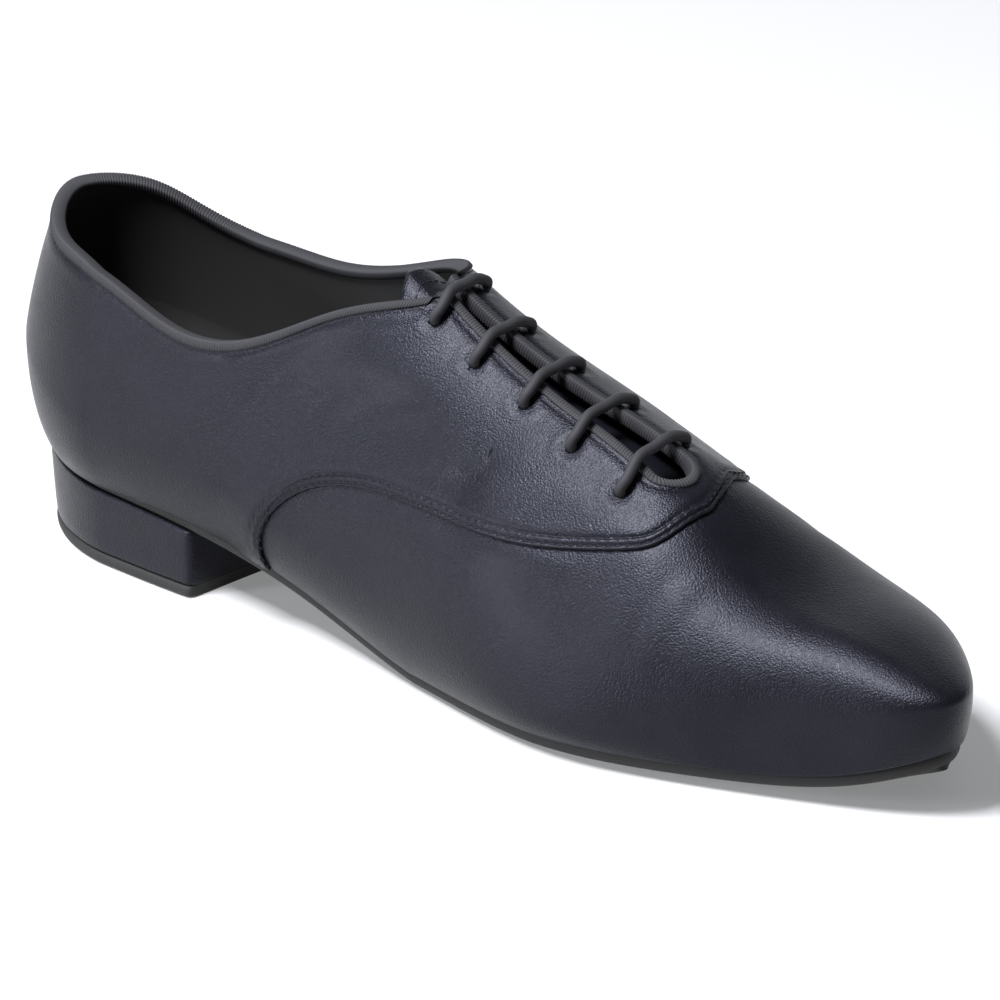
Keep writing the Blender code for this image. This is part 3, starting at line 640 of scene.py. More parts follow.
def crease_depth(last, points):
    """How far the listed creases and the eyelets' pull sink the skin at each point."""
    depth = np.zeros(points.shape[:-1])
    skin = last.whole_skin(np.linspace(0, 1, 90))
    skin_normals = loop_normals(skin)
    share = last.height_share(skin)
    across = skin[..., 1] - last.crest_y(skin[..., 0] / last.s.length)
    for along, side, height, half_length, half_width, turn, deep in CREASES:
        miss = np.abs(skin[..., 0] / last.s.length - along) + np.abs(share - height) / 3
        miss = miss + (across * side < 0)
        found = np.unravel_index(np.argmin(miss), miss.shape)
        centre, normal = skin[found], skin_normals[found]
        forward = unit(np.array([1.0, 0, 0]) - normal * normal[0])
        sideways = np.cross(normal, forward)
        angle = math.radians(turn)
        way = forward * math.cos(angle) + sideways * math.sin(angle)
        gap = (points - centre) * 1000
        on = gap @ way
        off = gap @ np.cross(normal, way) + 0.012 * on**2
        through = gap @ normal
        depth += deep / 1000 * bump(on, 0, half_length) * bump(off, 0, half_width) * bump(through, 0, 14)
    for point, _ in last.eyelet_points():
        gap = np.linalg.norm(points - point, axis=-1) * 1000
        depth += 0.00055 * bump(gap, 0, 2.3) - 0.00012 * bump(gap, 4.0, 1.3)
    return depth


def quarter_half(last, side):
    """Places and steps of the quarter's bottom and top edges on one side, column by column."""
    place, step = seam_line(last, side)
    start = place[0]
    count = len(last.halves[side][0])
    heel = np.arange(start + 1, dtype=float)
    feather = last.at(side, heel, np.full(len(heel), -1.0))
    bottom_a = pick(heel, evenly(feather, BEHIND_SEAM + 1))[:-1]
    lap = last.at(side, place.astype(float), step)
    at = evenly(lap, ALONG_SEAM)
    lap_place = pick(place, at)
    bottom_place = np.concatenate([bottom_a, lap_place])
    bottom_step = np.concatenate([np.full(len(bottom_a), -1.0), pick(step, at)])
    rim = last.at(side, np.arange(count, dtype=float), np.ones(count))
    split = int(np.argmax(rim[:, 0] > 0.335 * last.s.length))
    top_a = evenly(rim[:split + 1], BEHIND_SEAM + 1)[:-1]
    fan = count - HALF_COLUMNS[-1]
    before_fan = int((lap_place < fan).sum())
    top_b = split + evenly(rim[split:fan + 1], before_fan + 1)[:-1]
    top_b = np.concatenate([top_b, lap_place[before_fan:]])
    return bottom_place, bottom_step, np.concatenate([top_a, top_b]), lap


def quarter_grid(last):
    """The quarters' skin before relief, as one loop of columns, and each column's lap edge."""
    grids = []
    laps = []
    near = np.array(NEAR_SEAM)
    edge = np.array(NEAR_EDGE)
    for side in SIDES:
        bottom_place, bottom_step, top_place, lap = quarter_half(last, side)

        def skin(way):
            place = bottom_place + (top_place - bottom_place) * way
            return last.at(side, place, bottom_step + (1 - bottom_step) * way)

        way = np.linspace(0, 1, 91)
        path = skin(way[:, None])
        hops = np.linalg.norm(np.diff(path, axis=0), axis=2)
        travelled = np.concatenate([hops[:1] * 0, np.cumsum(hops, 0)]) * 1000
        rows = []
        for column in range(path.shape[1]):
            total = travelled[-1, column]
            squeeze = min(1, (total - 0.8) / (near[-1] + edge[0]))
            low = near * squeeze
            high = total - edge * squeeze
            between = np.linspace(low[-1], high[0], MIDDLE_ROWS + 2)[1:-1]
            rows.append(np.interp(np.concatenate([low, between, high]), travelled[:, column], way))
        grids.append(skin(np.array(rows).T))
        laps.append(lap)
    outer, inner = grids
    return np.concatenate([outer, inner[:, -2:0:-1]], 1), laps


def quarter_relief(last, points, laps):
    """Height of the quarters' skin over the last, with the lap, its sewn strip and the pulled leather."""
    far = np.full(points.shape[:-1], 1.0)
    travelled = np.zeros(points.shape[:-1])
    for lap in laps:
        fine = pick(lap, evenly(lap, 700))
        apart, place = nearest(points, fine)
        closer = apart < far
        far = np.where(closer, apart, far)
        travelled = np.where(closer, place, travelled)
    far = far * 1000
    lap = last.s.lap * 1000
    fade = 0.15 + 0.85 * (1 - smooth_step((far - 3) / 14))
    height = (lap + 0.15) * fade * np.sqrt(1 - np.clip(1 - far / 0.42, 0, 1) ** 2)
    puff = 0.5 + 0.5 * np.cos(2 * math.pi * travelled / last.s.stitch)
    for row in STITCH_ROWS:
        height -= (0.20 + 0.12 * puff) * bump(far, row, 0.34)
    height += (0.10 + 0.10 * (1 - puff)) * bump(far, sum(STITCH_ROWS) / 2, 0.55)
    height += 0.10 * bump(far, 4.6, 1.2)
    return height / 1000 - crease_depth(last, points)


def edge_relief(last, points):
    """The row of stitches under the tape and the soft swell of the leather beyond it."""
    down = np.linalg.norm(points - points[-1:], axis=2) * 1000
    line = last.s.tape_leg * 1000 + 0.9
    return (-0.16 * bump(down, line, 0.4) + 0.14 * bump(down, line + 2.2, 1.3)) / 1000


# Stitches


def add_stitch(shape, centre, way, normal, long, thick):
    """One stitch: a small long bead lying on the surface."""
    side = np.cross(normal, way)
    turn = Matrix((side * thick, normal * thick * 0.8, way * long)).transposed().to_4x4()
    at = Matrix.Translation(Vector(centre)) @ turn
    bmesh.ops.create_uvsphere(shape, u_segments=6, v_segments=5, radius=0.5, matrix=at)


def sew(shape, line, normals, pitch, thick=0.00055, sink=0.0):
    """A row of stitches along a line of points on a surface."""
    long = pitch * 0.74
    travelled = lengths_along(line)
    count = max(2, round(travelled[-1] / pitch))
    for number in range(count):
        at = np.interp((number + 0.5) / count * travelled[-1], travelled, np.arange(len(line)))
        centre, ahead, behind = pick(line, np.array([at, min(at + 1, len(line) - 1), max(at - 1, 0)]))
        way = unit(ahead - behind)
        normal = pick(normals, np.array(at))
        normal = unit(normal - way * (normal @ way))
        add_stitch(shape, centre - normal * sink, way, normal, long, thick)


def finish_shape(name, shape):
    mesh = bpy.data.meshes.new(name)
    bmesh.ops.recalc_face_normals(shape, faces=shape.faces)
    shape.to_mesh(mesh)
    shape.free()
    return mesh


# Materials


def node(tree, kind, **values):
    made = tree.nodes.new(kind)
    for name, value in values.items():
        setattr(made, name, value)
    return made


def set_sockets(made, values):
    for name, value in values.items():
        made.inputs[name].default_value = value


def noise(tree, at, scale, detail=3.0, rough=0.5):
    made = node(tree, "ShaderNodeTexNoise")
    tree.links.new(at, made.inputs["Vector"])
    set_sockets(made, {"Scale": scale, "Detail": detail, "Roughness": rough})
    return made.outputs["Fac"]


def cells(tree, at, scale):
    made = node(tree, "ShaderNodeTexVoronoi", feature="F1")
    tree.links.new(at, made.inputs["Vector"])
    set_sockets(made, {"Scale": scale})
    return made.outputs["Distance"]


def calc(tree, operation, *inputs):
    made = node(tree, "ShaderNodeMath", operation=operation)
    for place, value in zip(made.inputs, inputs):
        if isinstance(value, (int, float)):
            place.default_value = value
        else:
            tree.links.new(value, place)
    return made.outputs[0]


def ramp(tree, value, low, high, to_low=0.0, to_high=1.0):
    made = node(tree, "ShaderNodeMapRange")
    tree.links.new(value, made.inputs["Value"])
    set_sockets(made, {"From Min": low, "From Max": high, "To Min": to_low, "To Max": to_high})
    return made.outputs["Result"]


def grain(group, at):
    """Leather grain: small pebbles between fine creases, pores, and a mask of slow unevenness."""
    height = calc(group, "MULTIPLY_ADD", cells(group, at, 1900), -1.0, 1.0)
    height = calc(group, "MULTIPLY_ADD", cells(group, at, 4300), -0.4, height)
    height = calc(group, "MULTIPLY_ADD", noise(group, at, 3600), 0.5, height)
    return height, noise(group, at, 90)


def nap(group, at):
    """Nap of suede and cloth: short fibres, and a mask of soft clouds."""
    fibre = noise(group, at, 4200, 5, 0.7)
    return calc(group, "MULTIPLY_ADD", noise(group, at, 900, 4, 0.6), 0.7, fibre), noise(group, at, 120)


def texture(tree, name, build):
    """Height and mask of a shared texture group over the object's own coordinates."""
    group = bpy.data.node_groups.get(name)
    if group is None:
        group = bpy.data.node_groups.new(name, "ShaderNodeTree")
        group.interface.new_socket(name="Vector", in_out="INPUT", socket_type="NodeSocketVector")
        built = build(group, node(group, "NodeGroupInput").outputs["Vector"])
        for output in ("Height", "Mask"):
            group.interface.new_socket(name=output, in_out="OUTPUT", socket_type="NodeSocketFloat")
        end = node(group, "NodeGroupOutput")
        for output, value in zip(("Height", "Mask"), built):
            group.links.new(value, end.inputs[output])
    made = node(tree, "ShaderNodeGroup", node_tree=group)
    tree.links.new(node(tree, "ShaderNodeTexCoord").outputs["Object"], made.inputs["Vector"])
    return made.outputs["Height"], made.outputs["Mask"]


def uv_parts(tree):
    """The two parts of the piece's own surface coordinates."""
    split = node(tree, "ShaderNodeSeparateXYZ")
    tree.links.new(node(tree, "ShaderNodeUVMap", uv_map="UVMap").outputs["UV"], split.inputs[0])
    return split.outputs["X"], split.outputs["Y"]


def coloured(tree, shader, colour, mask, darker, lighter):
    """A colour that a mask over the surface makes a little darker or lighter."""
    made = node(tree, "ShaderNodeMix", data_type="RGBA")
    set_sockets(made, {"A": (*[c * darker for c in colour], 1), "B": (*[c * lighter for c in colour], 1)})
    tree.links.new(mask, made.inputs["Factor"])
    tree.links.new(made.outputs["Result"], shader.inputs["Base Color"])


def new_material(name, values):
    made = bpy.data.materials.new(name)
    made.use_nodes = True
    shader = made.node_tree.nodes["Principled BSDF"]
    set_sockets(shader, values)
    return made, made.node_tree, shader


def bumped(tree, shader, height, strength, distance):
    made = node(tree, "ShaderNodeBump")
    set_sockets(made, {"Strength": strength, "Distance": distance})
    tree.links.new(height, made.inputs["Height"])
    tree.links.new(made.outputs["Normal"], shader.inputs["Normal"])


def leather_material(name, colour, rough, depth, coat=0.0):
    """Finished calf leather with a soft sheen over its grain."""
    made, tree, shader = new_material(name, {
        "Specular IOR Level": 0.20, "Specular Tint": (0.78, 0.80, 1, 1), "Coat Weight": coat,
        "Coat Roughness": 0.30})
    height, wear = texture(tree, "leather_grain", grain)
    coloured(tree, shader, colour, ramp(tree, wear, 0.3, 0.7), 0.85, 1.2)
    tree.links.new(ramp(tree, wear, 0.3, 0.7, rough - 0.03, rough + 0.05), shader.inputs["Roughness"])
    bumped(tree, shader, height, depth, 0.00016)
    return made


def nap_material(name, colour, rough, depth, sheen):
    """Suede or brushed cloth."""
    made, tree, shader = new_material(name, {
        "Roughness": rough, "Specular IOR Level": 0.2, "Sheen Weight": sheen, "Sheen Roughness": 0.5})
    height, cloud = texture(tree, "nap", nap)
    coloured(tree, shader, colour, ramp(tree, cloud, 0.3, 0.7), 0.7, 1.5)
    bumped(tree, shader, height, depth, 0.0003)
    return made


def tape_material(name, colour, ribs):
    """Grosgrain tape: round ribs across it, darker in the grooves and lighter on the crowns as painted shade
    and painted highlight.
    """
    made, tree, shader = new_material(name, {
        "Roughness": 0.62, "Sheen Weight": 0.15, "Sheen Roughness": 0.5})
    turn = calc(tree, "MULTIPLY", uv_parts(tree)[0], 2 * math.pi * ribs)
    rib = calc(tree, "MULTIPLY_ADD", calc(tree, "COSINE", turn), 0.5, 0.5)
    # The rib mask darkens the colour in the grooves and lightens it on the ribs' crowns: painted shade and
    # painted highlight, over the real rib bump.
    coloured(tree, shader, colour, rib, 0.15, 3.2)
    cloth = texture(tree, "nap", nap)[0]
    bumped(tree, shader, calc(tree, "MULTIPLY_ADD", cloth, 0.25, rib), 0.5, 0.0002)
    return made


def cord_material(name, colour):
    """Round braided cord: two sets of yarns that cross round it, with painted shade between the yarns and
    painted highlight on their crowns.
    """
    made, tree, shader = new_material(name, {
        "Roughness": 0.9, "Specular IOR Level": 0.2, "Sheen Weight": 0.12, "Sheen Roughness": 0.4})
    round_it, along = uv_parts(tree)
    along = calc(tree, "MULTIPLY", along, 520 * math.pi)
    round_it = calc(tree, "MULTIPLY", round_it, 12 * math.pi)
    yarns = [calc(tree, "SINE", calc(tree, way, along, round_it)) for way in ("ADD", "SUBTRACT")]
    weave_relief_and_shade = calc(tree, "MAXIMUM", *yarns)
    # The weave darkens the colour between the yarns and lightens it on their crowns: painted shade and
    # painted highlight, over the real braid bump.
    coloured(tree, shader, colour, ramp(tree, weave_relief_and_shade, -0.5, 1.0), 0.2, 2.2)
    bumped(tree, shader, weave_relief_and_shade, 1.0, 0.0005)
    return made


def shared(make, name, colour, *values):
    """The finish of this name, made once in one of the shoe's colours."""
    colours = bpy.context.scene.shoe_colours
    return bpy.data.materials.get(name) or make(name, getattr(colours, colour), *values)


def shoe_leather():
    return shared(leather_material, "black_calf", "leather", 0.33, 0.6, 0.03)


def thread():
    return shared(leather_material, "thread", "thread", 0.55, 0.2)


def suede():
    return shared(nap_material, "black_suede", "suede", 0.95, 0.6, 0.35)


# The pieces


class SHOE_OT_vamp(bpy.types.Operator):
    """Vamp: the shell of the whole upper, seen in front of the lapped seam"""

    bl_idname = "shoe.vamp"
    bl_label = "Vamp"

    def execute(self, context):
        last = Last()
        steps = np.concatenate([-1 + np.linspace(0, 1, 19)[:-1], np.linspace(0, 1, 64) ** 1.15])
        outer = last.whole_skin(steps)
        normals = loop_normals(outer)
        far = np.full(outer.shape[:-1], 1.0)
        for side in SIDES:
            place, step = seam_line(last, side)
            lap = last.at(side, place.astype(float), step)
            far = np.minimum(far, nearest(outer, pick(lap, evenly(lap, 500)))[0])
        under = last.height_share(outer) > last.seam_share(outer)
        sink = PRESSED * smooth_step((far * 1000 - 0.8) / 2.5) * under
        sink = sink + crease_depth(last, outer) + 0.00018 * bump(far * 1000, 0, 1.5)
        outer = outer - normals * sink[..., None]
        inner = outer - normals * VAMP_LEATHER
        inner[0, :, 2] = outer[0, :, 2] + VAMP_LEATHER
        turned = np.concatenate([last.inward * TURNED_IN, np.zeros((len(last.feet), 1))], 1)
        floor = outer[0] + turned
        rows = np.concatenate([outer, inner[::-6], [floor + (0, 0, VAMP_LEATHER)], [floor], outer[:1]])
        mesh = skin_mesh("vamp", closed_rows(rows))
        placed(last, "vamp", mesh, shoe_leather(), "black_leather", "upper")
        return {"FINISHED"}


def quarter_skin(last):
    """Outer skin of the quarters before and after its relief, with its normals."""
    points, laps = quarter_grid(last)
    normals = loop_normals(points)
    height = quarter_relief(last, points, laps) + edge_relief(last, points)
    return points, points + normals * height[..., None], normals


def drill_eyelets(last, piece):
    """Cuts the ten eyelet holes through a placed piece."""
    shape = bmesh.new()
    radius = last.s.lace / 2 + 0.0001
    for point, normal in last.eyelet_points():
        turn = Vector((0, 0, 1)).rotation_difference(Vector(normal)).to_matrix().to_4x4()
        at = Matrix.Translation(Vector(point) - Vector((last.middle, 0, 0))) @ turn
        bmesh.ops.create_cone(shape, cap_ends=True, segments=24, radius1=radius, radius2=radius,
                              depth=0.006, matrix=at)
    drill = bpy.data.objects.new("eyelet_drill", finish_shape("eyelet_drill", shape))
    bpy.context.scene.collection.objects.link(drill)
    cut = piece.modifiers.new("eyelets", "BOOLEAN")
    cut.operation = "DIFFERENCE"
    cut.object = drill
    graph = bpy.context.evaluated_depsgraph_get()
    made = bpy.data.meshes.new_from_object(piece.evaluated_get(graph))
    piece.modifiers.clear()
    piece.data = made
    made.shade_smooth()
    bpy.data.objects.remove(drill)


class SHOE_OT_quarters(bpy.types.Operator):
    """Quarters: the back part of the upper, lapped over the vamp, with its eyelets and stitching"""

    bl_idname = "shoe.quarters"
    bl_label = "Quarters"

    def execute(self, context):
        last = Last()
        points, outer, normals = quarter_skin(last)
        under = points - normals * QUARTER_LEATHER
        rows = np.concatenate([outer, under[::-4], under[:1], outer[:1]])
        mesh = skin_mesh("quarters", closed_rows(rows))
        drill_eyelets(last, placed(last, "quarters", mesh, shoe_leather(), "black_leather"))
        shape = bmesh.new()
        half = BEHIND_SEAM + ALONG_SEAM
        for stretch in (slice(BEHIND_SEAM, half), slice(half, half + ALONG_SEAM - 1)):
            for row in (NEAR_SEAM.index(far) for far in STITCH_ROWS):
                sew(shape, outer[row, stretch], normals[row, stretch], last.s.stitch, sink=0.00002)
        row = NEAR_EDGE.index(TAPE_STITCHES) - len(NEAR_EDGE)
        sew(shape, looped(outer[row]), looped(normals[row]), last.s.stitch * 0.85, thick=0.00045)
        placed(last, "stitching", finish_shape("stitching", shape), thread(), "black_cord")
        return {"FINISHED"}


class SHOE_OT_lining(bpy.types.Operator):
    """Lining: the inner skin of the upper"""

    bl_idname = "shoe.lining"
    bl_label = "Lining"

    def execute(self, context):
        last = Last()
        steps = np.concatenate([-1 + np.linspace(0, 1, 9)[:-1], np.linspace(0, 1, 30) ** 1.15])
        outer = last.whole_skin(steps)
        normals = loop_normals(outer)
        near = (outer - normals * LINING_START)[:, ::2]
        far = (outer - normals * last.s.wall)[:, ::2]
        near[0, :, 2] = far[0, :, 2] = outer[0, ::2, 2] + 0.0004
        mesh = skin_mesh("lining", closed_rows(np.concatenate([far, near[::-1], far[:1]])))
        material = shared(leather_material, "dark_lining", "lining", 0.55, 0.25)
        placed(last, "lining", mesh, material, "dark_lining")
        return {"FINISHED"}


class SHOE_OT_binding(bpy.types.Operator):
    """Edge binding: ribbed tape folded over the collar's and the throat's edge"""

    bl_idname = "shoe.binding"
    bl_label = "Edge binding"

    def execute(self, context):
        last = Last()
        points, skin, normals = quarter_skin(last)
        rim = looped(skin[-1])
        count = 4 * round(lengths_along(rim)[-1] / last.s.rib)
        at = evenly(rim, count + 1)[:-1]
        edge = pick(rim, at)
        away = pick(looped(normals[-1]), at)
        inner = pick(looped(points[-1]), at) - away * last.s.wall
        up = edge - pick(looped(points[-4]), at)
        up = unit(up - away * (up * away).sum(1)[:, None])
        away = unit(away)
        tape, leg = last.s.tape, last.s.tape_leg
        profile = (
            (0, 0.05, -1.0), (0, 0.55, -1.04), (0, 1.0, -0.9), (0, 1.15, -0.5), (0, 1.15, 0.0),
            (0, 0.9, 0.45), (0, 0.3, 0.75), (0.5, 0, 0.85), (1, -0.3, 0.75), (1, -0.9, 0.45),
            (1, -1.15, 0.0), (1, -1.15, -0.5), (1, -1.0, -0.9), (1, -0.55, -1.04), (1, -0.05, -1.0),
            (0.5, 0, -0.2), (0, 0.05, -1.0),
        )
        ribs = 0.13 * np.cos(np.arange(count) * math.pi / 2)[:, None]
        rows = []
        for side, across, height in profile:
            start = edge * (1 - side) + inner * side
            reach = leg if height < 0 else tape * 1.3
            shift = away * across * tape + up * height * reach
            ribbed = ribs if abs(across) > 0.5 or height > 0.5 else 0
            shift = shift + (away * across + up * max(height, 0)) * ribbed * 0.001
            rows.append(start + shift)
        mesh = skin_mesh("binding", closed_rows(np.array(rows)), keep_uvs=True)
        material = shared(tape_material, "black_tape", "tape", count / 4)
        placed(last, "binding", mesh, material, "black_tape", "edge_binding")
        return {"FINISHED"}


def tongue_depth(last, along):
    """Depth of the tongue's top under the skin: below the lace, then up under the vamp."""
    s = last.s
    under_lace = s.wall + s.lace_bend + s.lace / 2 + 2 * s.clearance
    under_vamp = s.wall + 2 * s.clearance
    way = (along - s.throat_end) * s.length / s.throat_end_gap
    rise = smooth_step((way - 1.1) / 0.9)
    return under_lace + (under_vamp - under_lace) * rise


class SHOE_OT_tongue(bpy.types.Operator):
    """Tongue: leather under the facings, its rounded top standing in the opening"""

    bl_idname = "shoe.tongue"
    bl_label = "Tongue"

    def execute(self, context):
        last = Last()
        s = last.s
        start = s.outer_facing * s.length - s.tongue_top
        end = s.throat_end * s.length + s.throat_end_gap * 2.4
        way = np.linspace(0, 1, 111)[:, None]
        share = np.linspace(-1, 1, 61)[None]
        round_top = np.clip(1 - way * 9, 0, 1) ** 2 * 0.25
        half = (1 - 0.25 * way) * (1 - round_top) * s.tongue_width / 2
        x = start + (end - start) * way + s.tongue_top * 0.4 * share**4 * np.clip(1 - way * 4, 0, 1)
        y = last.crest_y(x / s.length) + share * half
        depth = tongue_depth(last, x / s.length)
        to_edge = np.minimum((1 - np.abs(share)) * half, way * (end - start)) * 1000
        round_off = s.tongue * 0.4 * (1 - np.clip(to_edge / 0.9, 0, 1)) ** 2
        groove = 0.00022 * bump(to_edge, 2.4, 0.35)
        top = last.on_skin(x, y, depth + round_off + groove)
        under = last.on_skin(x, y, depth + s.tongue - round_off)
        ring = np.concatenate([top, under[:, ::-1], top[:, :1]], 1)
        placed(last, "tongue_leather", skin_mesh("tongue_leather", ring), shoe_leather(), "black_leather",
               "tongue")
        shape = bmesh.new()
        row = 5
        line = top[row, 3:-3]
        up = unit(np.cross(top[row, 4:-2] - line, top[row + 1, 3:-3] - line))
        up = np.where(up[:, 2:] < 0, -up, up)
        sew(shape, line, up, s.stitch * 0.9, thick=0.0005)
        placed(last, "tongue_stitching", finish_shape("tongue_stitching", shape), thread(), "black_cord")
        return {"FINISHED"}


def cross_piece(last, name, profile):
    """A piece across the shoe: each profile row is a side, an inset, a share to the middle and a height."""
    count = len(last.halves[-1][0])
    rows = []
    for side, inset, share, height in profile:
        loop = last.foot_outline(inset)
        outer = loop[:count]
        inner = np.concatenate([loop[:1], loop[:count - 2:-1]])
        near, far = (outer, inner) if side < 0 else (inner, outer)
        plan = near + (far - near) * share
        rows.append(np.concatenate([plan, height(plan[:, 0] / last.s.length)[:, None]], 1))
    kept = np.append(np.arange(0, count - 1, 2), count - 1)
    return skin_mesh(name, np.array(rows)[:, kept])


class SHOE_OT_insole(bpy.types.Operator):
    """Insole: soft sock over the sole's inside"""

    bl_idname = "shoe.insole"
    bl_label = "Insole"

    def execute(self, context):
        last = Last()
        s = last.s
        inset = s.wall + 2 * s.clearance

        def at(rise):
            return lambda along: last.feather(along) + s.clearance + rise

        half = ((-1, inset, 0, at(0)), (-1, inset, 0, at(s.insole * 0.5)),
                (-1, inset + 0.0006, 0, at(s.insole * 0.85)), (-1, inset + 0.002, 0, at(s.insole)))
        middle = tuple((-1, inset, share, at(s.insole)) for share in (0.2, 0.35, 0.5, 0.65, 0.8))
        back = tuple((1, i, share, height) for _, i, share, height in half[::-1])
        mesh = cross_piece(last, "insole_sock", half + middle + back + half[:1])
        colour = [c * 1.6 for c in context.scene.shoe_colours.lining]
        placed(last, "insole_sock", mesh, nap_material("insole_cloth", colour, 0.8, 0.3, 0.1),
               "dark_lining", "insole")
        return {"FINISHED"}


class SHOE_OT_outsole(bpy.types.Operator):
    """Outsole: thin suede sole with softened edges"""

    bl_idname = "shoe.outsole"
    bl_label = "Outsole"

    def execute(self, context):
        last = Last()
        s = last.s

        def top(drop):
            return lambda along: last.feather(along) - drop * last.share("sole", along)

        def low(rise):
            def height(along):
                thick = last.share("sole", along)
                return last.tread(along) + s.edge_lift * last.share("edge", along) + rise * thick
            return height

        half = ((-1, s.sole_inset + 0.0012, 0, top(0)), (-1, s.sole_inset + 0.0003, 0, top(0.0001)),
                (-1, s.sole_inset, 0, top(0.0005)), (-1, s.sole_inset, 0, low(0.0007)),
                (-1, s.sole_inset + 0.0003, 0, low(0.0002)), (-1, s.sole_inset + 0.0009, 0, low(0)),
                (-1, s.sole_inset, 1 - s.edge_start, last.tread))
        middle = ((-1, s.sole_inset, 0.5, last.tread),)
        back = tuple((1, i, share, height) for _, i, share, height in half[::-1])
        mesh = cross_piece(last, "suede_sole", half + middle + back + half[:1])
        placed(last, "suede_sole", mesh, suede(), "black_suede", "outsole")
        return {"FINISHED"}


def heel_loop(last, inset, lean, corner=0.0028):
    """Closed outline of the heel with its breast corners rounded."""
    s = last.s
    loop = last.foot_outline(s.sole_inset + inset)
    kept = loop[:, 0] < s.heel_length
    count = len(last.halves[-1][0])
    outer = loop[:count][kept[:count]]
    inner = loop[count:][kept[count:]]
    line = np.concatenate([inner, outer])
    ends = [[s.heel_length, line[-1, 1]], [s.heel_length, line[0, 1]]]
    line = looped(np.concatenate([line, ends]))
    line[:, 0] += lean * (1 - line[:, 0] / s.heel_length)
    closed = np.concatenate([line, np.zeros((len(line), 1))], 1)
    even = pick(line, evenly(closed, 361))[:-1]
    step = lengths_along(closed)[-1] / 360
    reach = round(corner / step)
    weights = np.hanning(2 * reach + 3)[1:-1]
    weights /= weights.sum()
    return sum(weight * np.roll(even, k - reach, 0) for k, weight in enumerate(weights))


def heel_rows(last, levels):
    """Rows of a heel piece from level to level: share down the heel, inset and height."""
    s = last.s
    rows = []
    for down, inset, height in levels:
        flare = -s.heel_ledge - s.heel_flare * down + inset
        plan = heel_loop(last, flare, s.heel_lean * down)
        tall = height(plan[:, 0] / s.length)
        rows.append(np.concatenate([plan, np.reshape(tall, (-1, 1))], 1))
    return np.array(rows)


class SHOE_OT_heel(bpy.types.Operator):
    """Heel: leather-covered block with its suede top piece"""

    bl_idname = "shoe.heel"
    bl_label = "Heel"

    def execute(self, context):
        last = Last()
        s = last.s

        def under_sole(drop):
            return lambda along: last.tread(along) - s.clearance * 0.3 - drop

        def level(height):
            return lambda along: along * 0 + height

        def part_way(share):
            return lambda along: low + (last.tread(along) - low) * share

        low = s.top_piece + 0.0001
        block = ((0, 0.0005, under_sole(0)), (0, 0.0001, under_sole(0.0002)), (0, 0, under_sole(0.0008)),
                 (0.25, 0, part_way(0.72)), (0.5, 0, part_way(0.45)), (0.75, 0, part_way(0.2)),
                 (1, 0, level(low + 0.0010)), (1, 0.0002, level(low + 0.0003)), (1, 0.0007, level(low)))
        mesh = skin_mesh("covered_heel", closed_rows(heel_rows(last, block)))
        placed(last, "covered_heel", mesh, shoe_leather(), "black_leather", "heel_block")
        piece = ((1, 0.0006, level(s.top_piece)), (1, 0.0001, level(s.top_piece - 0.0003)),
                 (1, -0.0001, level(s.top_piece * 0.6)), (1, 0, level(0.0009)),
                 (1, 0.0003, level(0.0002)), (1, 0.0009, level(0.0)))
        mesh = skin_mesh("suede_top_piece", closed_rows(heel_rows(last, piece)))
        placed(last, "suede_top_piece", mesh, suede(), "black_suede", "heel_top_piece")
        return {"FINISHED"}


def lace_route(last):
    """Points along the lace: bars over the throat and the runs hidden under the facings."""
    s = last.s
    pairs = len(EYELETS)
    rows = np.array([[last.eyelet(side, n) for n in range(pairs)] for side in SIDES])
    under = s.wall + s.lace_bend
    over_tape = -(2 * s.clearance + s.tape + s.lace / 2)
    path = []

    def hole(x, y, downwards, came_from, goes_to):
        """Up or down through an eyelet, with a round bend at each end."""
        point, normal = last.skin_point(x, y)
        bends = []
        for direction, level in ((came_from, -1), (goes_to, 1)):
            flat = np.array([*direction, 0.0])
            flat = unit(flat - normal * (flat @ normal))
            above = (level < 0) == downwards
            surface = point if above else point - normal * s.wall
            out = normal if above else -normal
            turn = []
            for angle in np.radians((90, 65, 40, 20, 0)):
                bend = flat * (1 - math.cos(angle)) + out * math.sin(angle)
                turn.append(surface + s.lace_bend * bend)
            bends.append(turn if level < 0 else turn[::-1])
        path.extend(bends[0] + bends[1])

    def bar(start, end):
        """Over the throat, lifted clear of the bound edges."""
        rests = [last.on_skin(*(start + (end - start) * way), over_tape) for way in (0.3, 0.7)]
        path.extend([rests[0], (rests[0] + rests[1]) / 2, rests[1]])

    def run(start, end, shift=0.0, points=5):
        """Under a facing from one eyelet towards the next."""
        for way in np.linspace(0, 1, points + 2)[1:-1]:
            path.append(last.on_skin(*(start + (end - start) * way + (0, shift)), under))

    side = 0
    first = rows[0][0]
    path.append(last.on_skin(first[0] - 1.5 * s.lace, first[1], under))
    for i in range(pairs):
        start, end = rows[side][i], rows[1 - side][i]
        over = (0, 1) if side == 0 else (0, -1)
        hole(*start, False, (-1, 0), over)
        bar(start, end)
        last_one = i == pairs - 1
        hole(*end, True, (0, -over[1]), (-1, 0.9) if last_one else (1, 0))
        side = 1 - side
        if not last_one:
            run(rows[side][i], rows[side][i + 1])
    shift = 1.5 * s.lace + 2 * s.clearance
    away = shift if side else -shift
    for i in range(pairs - 1, 0, -1):
        run(rows[side][i], rows[side][i - 1], away, 4)
        x, y = rows[side][i - 1]
        if i > 1:
            path.append(last.on_skin(x, y + away, under))
    return np.array(path)


